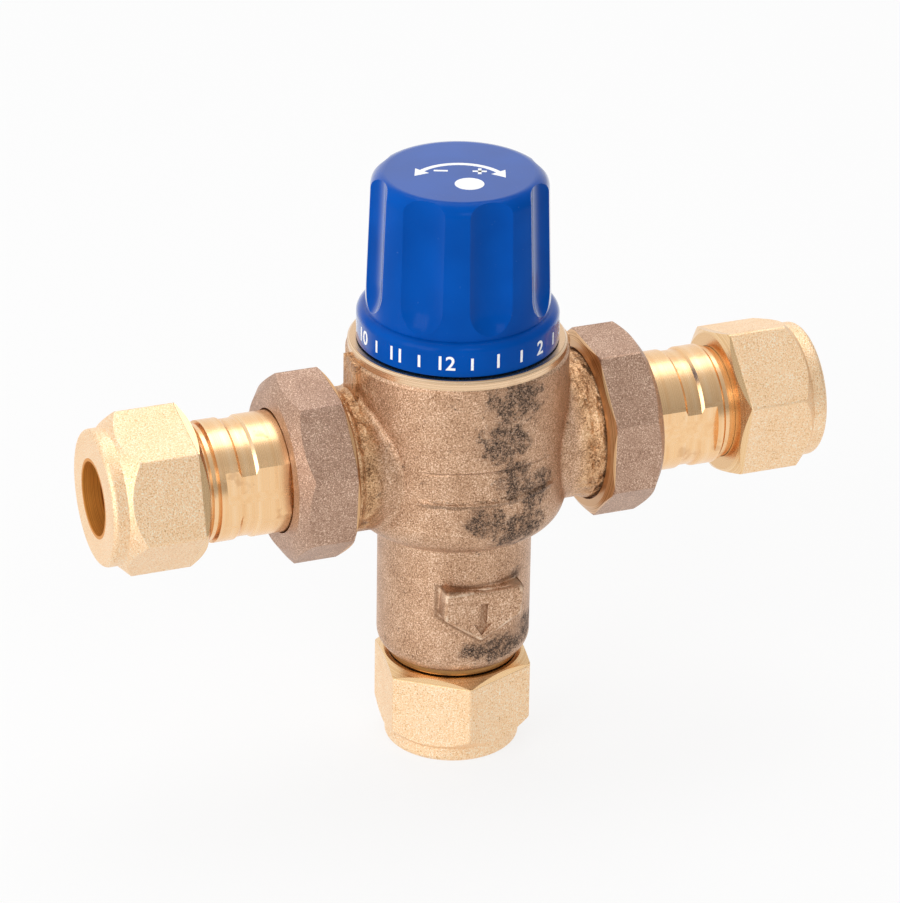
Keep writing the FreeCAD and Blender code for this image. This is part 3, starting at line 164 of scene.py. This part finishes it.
class Finish(Nodes):
    """A material. Places in it are in millimetres of the object's own frame."""

    def __init__(self, name, roughness, metallic, **constant):
        self.material = bpy.data.materials.new(name)
        self.material.use_nodes = True
        super().__init__(self.material.node_tree)
        self.shader = next(n for n in self.tree.nodes if n.type == "BSDF_PRINCIPLED")
        self.shader.inputs["Roughness"].default_value = roughness
        self.shader.inputs["Metallic"].default_value = metallic
        for socket, value in constant.items():
            self.shader.inputs[socket.replace("_", " ")].default_value = value
        here = self.node("ShaderNodeTexCoord", output="Object")
        self.place = self.node("ShaderNodeVectorMath", {"operation": "SCALE"},
                               {"Vector": here, "Scale": 1 / MM})
        self.x, self.y, self.z = (
            self.node("ShaderNodeSeparateXYZ", values={0: self.place}, output=axis)
            for axis in "XYZ")

    def noise(self, size, detail=3.0, roughness=0.6, stretch=(1, 1, 1)):
        """Noise from 0 to 1 whose features are about as large as size."""
        place = self.node("ShaderNodeVectorMath", {"operation": "MULTIPLY"},
                          {0: self.place, 1: stretch})
        return self.node("ShaderNodeTexNoise", values={
            "Vector": place, "Scale": 1 / size, "Detail": detail, "Roughness": roughness})

    def ramp(self, value, *stops):
        """A colour that runs through the stops, each a value and its colour."""
        return self.node("ShaderNodeValToRGB", {"stops": stops}, {0: value})

    def mix(self, mask, colour, other):
        """The first colour where the mask is 0, and the other where it is 1."""
        return self.node("ShaderNodeMix", {"data_type": "RGBA"},
                         {"Factor": mask, 6: colour, 7: other}, output=2)

    def colour(self, value):
        self.feed(self.shader.inputs["Base Color"], value)

    def roughness(self, value):
        self.feed(self.shader.inputs["Roughness"], value)

    def metallic(self, value):
        self.feed(self.shader.inputs["Metallic"], value)

    def coat(self, value):
        self.feed(self.shader.inputs["Coat Weight"], value)

    def relief(self, *heights):
        """Bumps of the given heights in millimetres."""
        total = sum(heights[1:], heights[0])
        bump = self.node("ShaderNodeBump", values={
            "Strength": 1.0, "Distance": MM, "Height": total})
        self.feed(self.shader.inputs["Normal"], bump)


def rings(finish, reach, size, detail=2.0):
    """Noise in bands across the direction of reach, as a lathe leaves them."""
    return finish.node("ShaderNodeTexNoise", {"noise_dimensions": "1D"}, {
        "W": reach, "Scale": 1 / size, "Detail": detail, "Roughness": 0.6})


def near(finish, x, z, half_width, half_height):
    """1 at a place on the front of the casting, fading to 0 at the edge of an oval."""
    across, along = (finish.x - x) / half_width, (finish.z - z) / half_height
    return (across * across + along * along).below(0.6, 1.1)


def past_shield(finish):
    """Distance in millimetres outside the flow shield's outline, negative inside it."""
    up, across = finish.z - SHIELD_HEIGHT, finish.x.size()
    slope = (0.667 * across - up - 6.0) * 0.832
    return (across - 7.3).or_more((up - 4.5).or_more(slope))


# Sooty patches on the front, the last of them a painted shadow over the flow shield's top right
# corner: across, height, half width and half height.
PATINA_AND_SHADOW = (
    (3.5, 73.0, 7.5, 5.5), (1.5, 66.0, 6.5, 6.0), (3.5, 58.5, 4.5, 6.0), (8.0, 55.5, 4.5, 4.5),
    (-1.5, 51.0, 5.5, 4.0), (4.5, 48.8, 8.0, 4.5), (3.5, 22.8, 9.0, 3.6), (9.5, 24.0, 4.0, 4.0),
    # painted shadow over the flow shield's top right corner
    (7.2, 36.2, 2.4, 1.6))


def cast_bronze():
    """Cast bronze: sandy skin, sooty patches, lumpy golden bosses and a turned rim, with painted
    shade on the turned foot, round the flow shield and in its sunk arrow, a painted highlight
    along the shield's edge and a painted shadow over its top right corner.
    """
    finish = Finish("cast_bronze", 0.42, 0.8)
    sand = finish.noise(0.25, detail=2, roughness=0.6)
    fine = finish.noise(0.12, detail=1)
    cloud = finish.noise(5.0, detail=4)
    lumps = finish.noise(2.3, detail=2, roughness=0.5)
    tone = 0.62 * sand + 0.22 * fine + 0.16 * cloud
    skin = finish.ramp(
        tone, (0.36, (0.20, 0.095, 0.045)), (0.45, (0.47, 0.27, 0.155)),
        (0.54, (0.66, 0.41, 0.26)), (0.63, (0.97, 0.72, 0.53)))
    golden = finish.ramp(
        0.72 * tone + 0.28 * lumps, (0.38, (0.14, 0.06, 0.022)), (0.47, (0.55, 0.30, 0.14)),
        (0.56, (0.86, 0.54, 0.29)), (0.66, (1.0, 0.78, 0.52)))
    boss = finish.x.size().above(BOSS_START, 3.0)
    skin = finish.mix(boss * 0.85, skin, golden)
    # Sooty patches and one painted shadow; they also feed the sooty mottle below.
    soot_and_shadow_spots = near(finish, *PATINA_AND_SHADOW[0])
    for spot in PATINA_AND_SHADOW[1:]:
        soot_and_shadow_spots = soot_and_shadow_spots.or_more(near(finish, *spot))
    soot_and_shadow_spots = soot_and_shadow_spots * finish.y.below(0, 4)
    mottle = finish.noise(2.4, detail=5, roughness=0.72)
    squiggle = (finish.noise(0.75, detail=3, roughness=0.65) - 0.5).size().below(0.055, 0.06)
    region = (mottle + 0.24 * soot_and_shadow_spots).above(0.68, 0.16)
    patina_and_shadow = region * (0.35 + 0.65 * squiggle)
    soot_and_shadow = finish.ramp(sand, (0.36, (0.014, 0.008, 0.005)), (0.64, (0.15, 0.092, 0.062)))
    skin = finish.mix(0.34 * soot_and_shadow_spots, skin, (0.20, 0.11, 0.065))
    skin = finish.mix(patina_and_shadow, skin, soot_and_shadow)
    outside = past_shield(finish)
    facing_out = finish.y.below(-9.5, 1.0)
    # Painted shade: a dark band on the casting just outside the flow shield's outline.
    shield_contact_shade = (outside - 0.25).size().below(0.25, 0.5) * facing_out
    # Painted highlight: a broken bright line along the flow shield's bevelled edge.
    shield_edge_highlight = (outside + 0.40).size().below(0.2, 0.4) * facing_out * lumps.above(0.46, 0.16)
    skin = finish.mix(shield_contact_shade * 0.6, skin, (0.17, 0.085, 0.042))
    skin = finish.mix(shield_edge_highlight * 0.6, skin, (1.0, 0.80, 0.60))
    # Painted shade in the flow shield's sunk arrow.
    sunk = finish.y.above(ARROW_FLOOR, 0.1) * outside.below(-1.0, 0.2) * facing_out
    skin = finish.mix(sunk * 0.45, skin, (0.22, 0.10, 0.045))
    height = finish.z
    rim = height.above(RIM_BOTTOM, 0.1)
    foot = height.below(LEG_BOTTOM, 0.1)
    turned = rim + foot
    bands = rings(finish, height, 0.12)
    bright = finish.ramp(bands, (0.35, (0.66, 0.40, 0.21)), (0.65, (0.98, 0.76, 0.54)))
    # Painted shade: the turned foot gets a darker copy of the rim's turned colour.
    foot_shade = finish.ramp(bands, (0.35, (0.20, 0.085, 0.025)), (0.65, (0.50, 0.27, 0.10)))
    skin = finish.mix(rim, skin, bright)
    finish.colour(finish.mix(foot, skin, foot_shade))
    rough = 1 - turned
    finish.metallic(0.80 + 0.20 * turned - 0.3 * patina_and_shadow * rough)
    finish.roughness(0.29 + 0.16 * fine + 0.3 * patina_and_shadow - 0.13 * turned)
    wobble = 0.9 * finish.noise(1.5, detail=3)
    front = finish.x.size().below(11.5, 3.0)
    ledge = (height + wobble - LEDGE_HEIGHT).size().below(0.4, 0.8) * front
    crease = (height + 0.5 * wobble - CREASE_HEIGHT).size().below(0.12, 0.5) * front
    finish.relief(rough * sand * 0.10, rough * fine * 0.04, rough * cloud * 0.15,
                  rough * boss * lumps * 1.25, ledge * 0.6, crease * -0.2,
                  turned * bands * 0.012)
    return finish.material


def union_bronze():
    """Shot-blasted bronze nuts with a golden chamfer turned beside the valve."""
    finish = Finish("union_bronze", 0.48, 0.85)
    grain = finish.noise(0.22, detail=2, roughness=0.65)
    cloud = finish.noise(4.0, detail=3)
    skin = finish.ramp(
        0.85 * grain + 0.15 * cloud,
        (0.34, (0.25, 0.14, 0.09)), (0.45, (0.42, 0.255, 0.175)),
        (0.55, (0.54, 0.345, 0.245)), (0.66, (0.92, 0.70, 0.54)))
    reach = finish.x.size()
    turned = reach.below(UNION_INNER + UNION_CHAMFER, 0.12)
    bands = rings(finish, reach, 0.12)
    bright = finish.ramp(bands, (0.35, (0.46, 0.24, 0.10)), (0.65, (0.86, 0.55, 0.30)))
    finish.colour(finish.mix(turned, skin, bright))
    finish.metallic(0.8 + 0.2 * turned)
    finish.roughness(0.36 + 0.18 * grain - 0.12 * turned)
    finish.relief((1 - turned) * grain * 0.07, (1 - turned) * cloud * 0.05, turned * bands * 0.01)
    return finish.material


def nut_brass(name, upright):
    """Blasted forged brass, pale and sparkling, with a bright inner end and a turned bore
    coloured in painted shade.
    """
    finish = Finish(name, 0.42, 1.0)
    if upright:
        reach, across, up = finish.z, finish.x, finish.y
    else:
        reach = ARM_END - finish.x.size()
        across, up = finish.y, finish.z - INLET_HEIGHT / MM
    grain = finish.noise(0.24, detail=2, roughness=0.65)
    fine = finish.noise(0.11, detail=1)
    cloud = finish.noise(5.0, detail=2)
    skin = finish.ramp(
        0.68 * grain + 0.24 * fine + 0.08 * cloud,
        (0.35, (0.62, 0.36, 0.16)), (0.44, (0.97, 0.65, 0.37)),
        (0.53, (1.0, 0.72, 0.45)), (0.61, (1.0, 0.92, 0.76)))
    bore = (across * across + up * up).below(NUT_BORE ** 2, 2)
    turned = reach.above(NUT_LENGTH - NUT_RING, 0.12).or_more(bore)
    bands = rings(finish, reach, 0.12)
    bright = finish.ramp(bands, (0.35, (0.80, 0.50, 0.24)), (0.65, (0.97, 0.69, 0.40)))
    # Painted shade: the bore gets a darker, deeper orange turned colour.
    bore_shade = finish.ramp(bands, (0.35, (0.48, 0.16, 0.02)), (0.65, (0.88, 0.40, 0.07)))
    finish.colour(finish.mix(turned, skin, finish.mix(bore, bright, bore_shade)))
    finish.roughness(0.36 + 0.2 * grain - 0.2 * turned + 0.25 * bore)
    finish.metallic(1 - 0.45 * bore)
    finish.relief((1 - turned) * grain * 0.12, (1 - turned) * fine * 0.02,
                  turned * bands * 0.008)
    return finish.material


def turned_brass():
    """Bright brass off the lathe, with bands, tool marks, dull stains and plain wrench flats."""
    finish = Finish("turned_brass", 0.24, 1.0)
    reach = finish.x.size()
    bands = rings(finish, reach, 1.6)
    marks = rings(finish, reach, 0.09)
    stain = finish.noise(3.4, detail=4).above(0.64, 0.12)
    aside = finish.y.size()
    flat = aside.above(FLAT_REACH - 0.1, 0.05) * aside.below(FLAT_REACH + 0.1, 0.05)
    turned = 1 - flat * reach.above(UNION_INNER, 0.5)
    marks = turned * marks + (1 - turned) * finish.noise(1.1, detail=2)
    bands = 0.5 + turned * (bands - 0.5)
    shade = finish.ramp(
        0.5 * bands + 0.5 * marks,
        (0.30, (0.88, 0.52, 0.25)), (0.50, (0.95, 0.62, 0.33)), (0.70, (0.98, 0.70, 0.43)))
    finish.colour(finish.mix(stain * 0.35, shade, (0.62, 0.33, 0.15)))
    finish.roughness(0.24 + 0.06 * marks + 0.12 * stain)
    finish.relief(marks * 0.0008)
    return finish.material


def copper():
    """Bright copper, a little scaled."""
    finish = Finish("copper", 0.3, 1.0)
    scale = finish.noise(1.2, detail=3)
    finish.colour(finish.ramp(scale, (0.35, (0.45, 0.16, 0.07)), (0.65, (0.80, 0.37, 0.22))))
    finish.roughness(0.24 + 0.14 * scale)
    finish.relief(scale * 0.01)
    return finish.material


def spring_steel():
    """Drawn stainless wire and strip."""
    finish = Finish("spring_steel", 0.3, 1.0)
    drawn = finish.noise(0.4, detail=2)
    finish.colour(finish.ramp(drawn, (0.35, (0.42, 0.42, 0.43)), (0.65, (0.66, 0.66, 0.67))))
    finish.roughness(0.24 + 0.12 * drawn)
    finish.relief(drawn * 0.006)
    return finish.material


def seal_rubber():
    """Black rubber with a faint bloom."""
    finish = Finish("seal_rubber", 0.6, 0.0)
    bloom = finish.noise(0.8, detail=3)
    finish.colour(finish.ramp(bloom, (0.35, (0.010, 0.010, 0.011)), (0.7, (0.030, 0.030, 0.032))))
    finish.roughness(0.5 + 0.2 * bloom)
    finish.relief(bloom * 0.01)
    return finish.material


def fibre():
    """Red fibre sheet."""
    finish = Finish("fibre", 0.85, 0.0)
    threads = finish.noise(0.5, detail=4, stretch=(1, 0.25, 1))
    finish.colour(finish.ramp(threads, (0.35, (0.16, 0.05, 0.035)), (0.65, (0.34, 0.12, 0.08))))
    finish.roughness(0.75 + 0.2 * threads)
    finish.relief(threads * 0.04)
    return finish.material


def moulded_white():
    """White moulded plastic with faint flow marks."""
    finish = Finish("moulded_white", 0.4, 0.0)
    flow = finish.noise(1.5, detail=2)
    finish.colour(finish.ramp(flow, (0.3, (0.72, 0.72, 0.70)), (0.7, (0.83, 0.83, 0.81))))
    finish.roughness(0.34 + 0.14 * flow)
    finish.relief(flow * 0.01)
    return finish.material


def blue_plastic():
    """Deep blue gloss that only turns pale where it is seen at a slant."""
    finish = Finish("blue_plastic", 0.2, 0.0, Specular_IOR_Level=0.05, Coat_IOR=1.9)
    flow = finish.noise(14.0, detail=2)
    dust = finish.noise(0.9, detail=5, roughness=0.7).above(0.70, 0.08)
    shade = finish.ramp(flow, (0.35, (0.0, 0.060, 0.325)), (0.65, (0.0, 0.074, 0.39)))
    finish.colour(finish.mix(dust * 0.10, shade, (0.30, 0.40, 0.62)))
    finish.roughness(0.15 + 0.05 * flow + 0.2 * dust)
    slant = finish.node("ShaderNodeLayerWeight", values={"Blend": 0.5}, output="Facing")
    finish.coat(slant.above(0.59, 0.34))
    finish.relief(flow * 0.03)
    return finish.material


def print_white():
    """Pad-printed white ink, a little thin in places."""
    finish = Finish("print_white", 0.5, 0.0)
    thin = finish.noise(0.35, detail=3)
    finish.colour(finish.ramp(thin, (0.28, (0.66, 0.72, 0.84)), (0.42, (0.90, 0.91, 0.92))))
    finish.roughness(0.42 + 0.16 * thin)
    finish.relief(thin * 0.008)
    return finish.material


FINISHES = {
    "cast_bronze": cast_bronze(),
    "union_bronze": union_bronze(),
    "nut_brass": nut_brass("nut_brass", upright=False),
    "turned_brass": turned_brass(),
    "copper": copper(),
    "spring_steel": spring_steel(),
    "seal_rubber": seal_rubber(),
    "fibre": fibre(),
    "moulded_white": moulded_white(),
    "blue_plastic": blue_plastic(),
}
OUTLET_NUT = nut_brass("outlet_nut_brass", upright=True)
PRINT = print_white()


def finish_frame():
    """Gives every piece of the frame the finish of its own material slot."""
    for part in frame["record"]["subparts"]:
        node = frame["nodes"][part["node"]]
        material = FINISHES[part["material_slot"]]
        if part["node"] == "outlet_compression_nut":
            material = OUTLET_NUT
        for index in range(len(node.data.materials)):
            node.data.materials[index] = material


# ------------------------------------------------------------ printed marks

def pick(*items):
    """Selects the items alone and makes the first of them active."""
    bpy.ops.object.select_all(action="DESELECT")
    for item in items:
        item.select_set(True)
    bpy.context.view_layer.objects.active = items[0]


def lettering(text, height):
    """Flat lettering in the XY plane, centred on the origin, as one mesh object."""
    bpy.ops.object.select_all(action="DESELECT")
    bpy.ops.object.text_add(location=(0, 0, 0))
    words = bpy.context.object
    words.data.body = text
    words.data.size = height / 0.70      # so that its digits are as tall as height
    words.data.align_x = "CENTER"
    words.data.align_y = "CENTER"
    words.data.extrude = PRINT_DEPTH / 2
    words.data.offset = 0.02 * height
    words.data.resolution_u = 4
    bpy.ops.object.convert(target="MESH")
    return bpy.context.object


def bar(width, height):
    """A flat bar in the XY plane, centred on the origin."""
    bpy.ops.object.select_all(action="DESELECT")
    bpy.ops.mesh.primitive_cube_add(size=1)
    mark = bpy.context.object
    mark.data.transform(Matrix.Diagonal((width, height, PRINT_DEPTH, 1)))
    return mark


def wrap(mark, around, height, radius):
    """Bends a flat mark round the vertical axis. Angle 0 faces the front, +X follows."""
    for vertex in mark.data.vertices:
        angle = around + vertex.co.x / radius
        reach = radius + PRINT_MIDDLE + vertex.co.z
        vertex.co = (reach * math.sin(angle), -reach * math.cos(angle), height + vertex.co.y)
    return mark


def printed(name, marks):
    """Makes the marks one print at the origin, white, that turns with the cap."""
    pick(*marks)
    bpy.ops.object.join()
    whole = bpy.context.object
    whole.name = name
    whole.data.name = name
    bpy.ops.object.mode_set(mode="EDIT")
    bpy.ops.mesh.select_all(action="SELECT")
    bpy.ops.mesh.remove_doubles(threshold=1e-6)
    bpy.ops.mesh.normals_make_consistent(inside=False)
    bpy.ops.object.mode_set(mode="OBJECT")
    whole.data.materials.clear()
    whole.data.materials.append(PRINT)
    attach(whole, "cap")


def collar_scale():
    """Plain numbers round the cap's collar, each with a tick after it."""
    height = cap_low.z + 2.35 * MM
    first, step = math.radians(2), math.radians(15)
    marks = []
    for number in range(1, 13):
        around = first + (2 * number - 2) * step
        marks.append(wrap(lettering(str(number), 2.5 * MM), around, height, COLLAR_RADIUS))
        around = first + (2 * number - 1) * step
        marks.append(wrap(bar(0.45 * MM, 2.2 * MM), around, height, COLLAR_RADIUS))
    printed("collar_scale", marks)


def outline_plate(name, corners, depth):
    """A flat plate in the XY plane with the given corners, from z = 0 up to depth."""
    bpy.ops.object.select_all(action="DESELECT")
    bpy.ops.mesh.primitive_circle_add(vertices=len(corners), fill_type="NGON")
    plate = bpy.context.object
    plate.name = name
    plate.data.name = name
    for vertex, corner in zip(plate.data.vertices, corners):
        vertex.co = (corner[0] * MM, corner[1] * MM, 0)
    bpy.ops.object.mode_set(mode="EDIT")
    bpy.ops.mesh.select_all(action="SELECT")
    bpy.ops.mesh.extrude_region_move(TRANSFORM_OT_translate={"value": (0, 0, depth)})
    bpy.ops.mesh.select_all(action="SELECT")
    bpy.ops.mesh.normals_make_consistent(inside=False)
    bpy.ops.object.mode_set(mode="OBJECT")
    return plate


def apply_modifier(item, kind, **settings):
    """Adds a modifier with its settings and applies it."""
    pick(item)
    added = item.modifiers.new(kind.title(), kind)
    for name, value in settings.items():
        setattr(added, name, value)
    bpy.ops.object.modifier_apply(modifier=added.name)


def curl(mark, radius, centre, around):
    """Bends a flat mark in its own plane round a centre; its middle ends up at an angle."""
    for vertex in mark.data.vertices:
        angle = around - vertex.co.x / radius
        reach = radius + vertex.co.y
        vertex.co.x = centre[0] + reach * math.cos(angle)
        vertex.co.y = centre[1] + reach * math.sin(angle)
    return mark


def long_bar(length, width):
    """A flat bar with many cross cuts along X, so that it can be bent."""
    bpy.ops.object.select_all(action="DESELECT")
    bpy.ops.mesh.primitive_grid_add(x_subdivisions=40, y_subdivisions=1, size=1)
    mark = bpy.context.object
    mark.data.transform(Matrix.Diagonal((length, width, 1, 1)))
    apply_modifier(mark, "SOLIDIFY", thickness=PRINT_DEPTH, offset=0)
    return mark


def arrow_head(length, half_width):
    """A flat arrow head on the origin that points along X."""
    head = outline_plate("head", ((0, half_width), (0, -half_width), (length, 0)), PRINT_DEPTH)
    head.data.transform(Matrix.Translation((0, 0, -PRINT_DEPTH / 2)))
    return head


def cap_top_mark():
    """White print on the cap's top: a curved arrow each way with plus and minus, and a dot."""
    away = math.radians(68.5)            # where the print's upper side points
    toward = Vector((-math.cos(away), -math.sin(away)))
    right = Vector((math.sin(away), -math.cos(away)))
    upright = Matrix.Rotation(away - math.pi / 2, 4, "Z")
    radius, centre = 8.2 * MM, toward * 5.0 * MM
    length = radius * math.radians(104)
    marks = [curl(long_bar(length, 0.9 * MM), radius, centre, away)]
    for end, sizes in ((-1, ((2.4, 0.6),)), (1, ((2.4, 0.6), (0.6, 2.4)))):
        head = arrow_head(2.6, 1.5)
        if end < 0:
            head.data.transform(Matrix.Rotation(math.pi, 4, "Z"))
        head.data.transform(Matrix.Translation((end * length / 2, 0, 0)))
        marks.append(curl(head, radius, centre, away))
        place = right * end * 3.3 * MM - toward * 0.2 * MM
        for width, height in sizes:
            sign = bar(width * MM, height * MM)
            sign.data.transform(Matrix.Translation((*place, 0)) @ upright)
            marks.append(sign)
    bpy.ops.object.select_all(action="DESELECT")
    bpy.ops.mesh.primitive_cylinder_add(vertices=64, radius=2.5 * MM, depth=PRINT_DEPTH)
    dot = bpy.context.object
    dot.data.transform(Matrix.Translation((*(toward * 5.2 * MM + right * 1.6 * MM), 0)))
    marks.append(dot)
    for mark in marks:
        mark.data.transform(Matrix.Translation((0, 0, cap_high.z + PRINT_MIDDLE)))
    printed("cap_top_mark", marks)


def flow_shield():
    """The casting's raised shield with its soft edges and sunk flow arrow."""
    shield = outline_plate("flow_shield", (
        (0, -5.9), (7.3, -1.1), (7.35, 4.6), (3.9, 4.15), (0.4, 4.0), (-3.6, 4.3),
        (-7.3, 4.7), (-7.35, -1.0)), SHIELD_THICKNESS * MM)
    arrow = outline_plate("arrow", (
        (0, -4.5), (1.7, -2.2), (0.65, -2.5), (0.6, 1.6), (-0.6, 1.6), (-0.65, -2.5),
        (-1.7, -2.2)), 2 * MM)
    arrow.data.transform(Matrix.Translation((0, 0, (SHIELD_THICKNESS - 0.45) * MM)))
    apply_modifier(shield, "BEVEL", width=0.75 * MM, segments=5, limit_method="ANGLE",
                   angle_limit=math.radians(50))
    apply_modifier(shield, "BOOLEAN", object=arrow, operation="DIFFERENCE", solver="EXACT")
    bpy.data.objects.remove(arrow)
    apply_modifier(shield, "BEVEL", width=0.12 * MM, segments=2, limit_method="ANGLE",
                   angle_limit=math.radians(60))
    upright = Matrix.Rotation(math.radians(4), 4, "Y") @ Matrix.Rotation(math.pi / 2, 4, "X")
    shield.data.transform(
        Matrix.Translation((0, SHIELD_BACK * MM, SHIELD_HEIGHT * MM)) @ upright)
    shield.data.materials.append(FINISHES["cast_bronze"])
    pick(shield)
    bpy.ops.object.shade_smooth_by_angle(angle=math.radians(40))
    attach(shield, "body")


finish_frame()
collar_scale()
cap_top_mark()
flow_shield()


# -------------------------------------------------------- studio and camera

def floor():
    """A pale floor that shows white but keeps the valve's shadow."""
    bpy.ops.object.select_all(action="DESELECT")
    bpy.ops.mesh.primitive_plane_add(size=8, location=(0, 0, 0))
    ground = bpy.context.object
    ground.name = "floor"
    material = bpy.data.materials.new("floor")
    material.use_nodes = True
    nodes = Nodes(material.node_tree)
    nodes.tree.nodes.clear()
    seen = nodes.rays("Is Camera Ray").or_more(nodes.rays("Is Glossy Ray"))
    seen = seen.or_more(nodes.rays("Is Transmission Ray"))
    paper = nodes.node("ShaderNodeBsdfDiffuse", values={"Color": (0.8, 0.8, 0.8)})
    glow = nodes.node("ShaderNodeEmission", values={"Color": (1, 1, 1)})
    shown = nodes.node("ShaderNodeMixShader", values={0: seen * 0.80, 1: paper, 2: glow})
    nodes.node("ShaderNodeOutputMaterial", values={"Surface": shown})
    ground.data.materials.append(material)


def soft_light(name, place, size, power):
    """A square soft box that faces the valve."""
    light = bpy.data.lights.new(name, "AREA")
    light.size = size
    light.energy = power
    lamp = bpy.data.objects.new(name, light)
    bpy.context.scene.collection.objects.link(lamp)
    lamp.location = place
    towards = Vector((0, 0, INLET_HEIGHT)) - Vector(place)
    lamp.rotation_euler = towards.to_track_quat("-Z", "Y").to_euler()


def room():
    """Soft light all round, brighter behind on the left, and plain white where it is seen."""
    world = bpy.data.worlds.new("studio")
    world.use_nodes = True
    nodes = Nodes(world.node_tree)
    sky = next(n for n in nodes.tree.nodes if n.type == "BACKGROUND")
    nodes.feed(sky.inputs["Color"], (1, 1, 1))
    around = nodes.node("ShaderNodeTexCoord", output="Generated")
    side = nodes.node("ShaderNodeVectorMath", {"operation": "DOT_PRODUCT"},
                      {0: around, 1: (-0.55, 0.80, 0.20)}, output="Value")
    level = nodes.node("ShaderNodeMapRange", values={
        "Value": side, "From Min": -0.8, "From Max": 0.6, "To Min": 0.40, "To Max": 0.95})
    seen = nodes.rays("Is Camera Ray").or_more(nodes.rays("Is Transmission Ray"))
    nodes.feed(sky.inputs["Strength"], nodes.node("ShaderNodeMapRange", values={
        "Value": seen, "To Min": level, "To Max": 1.0}))
    bpy.context.scene.world = world


def studio():
    """The floor, three soft boxes and the room."""
    floor()
    soft_light("key", (-1.0, -0.50, 0.42), 0.80, 6.0)
    soft_light("front", (-0.15, -1.1, 0.8), 0.50, 2.1)
    soft_light("top", (0.15, 0.35, 1.05), 0.7, 3.1)
    room()


def camera():
    """A long lens from the front left and above, turned a little about its own line."""
    azimuth, elevation, roll = (math.radians(a) for a in (-21.502, 26.416, 0.957))
    back = Vector((math.sin(azimuth) * math.cos(elevation),
                   -math.cos(azimuth) * math.cos(elevation), math.sin(elevation)))
    right = (-back).cross(Vector((0, 0, 1))).normalized()
    up = right.cross(-back)
    across = right * math.cos(roll) + up * math.sin(roll)
    upward = up * math.cos(roll) - right * math.sin(roll)
    data = bpy.data.cameras.new("camera")
    data.lens = 197.29
    data.sensor_width = 36
    data.shift_x = -0.00634
    data.shift_y = -0.01077
    view = bpy.data.objects.new("camera", data)
    bpy.context.scene.collection.objects.link(view)
    turn = Matrix((across, upward, back)).transposed().to_4x4()
    place = Vector((0, 0, 0.057361)) + back * 0.859749
    view.matrix_world = Matrix.Translation(place) @ turn
    bpy.context.scene.camera = view


studio()
camera()
bpy.context.scene.view_settings.view_transform = "Standard"
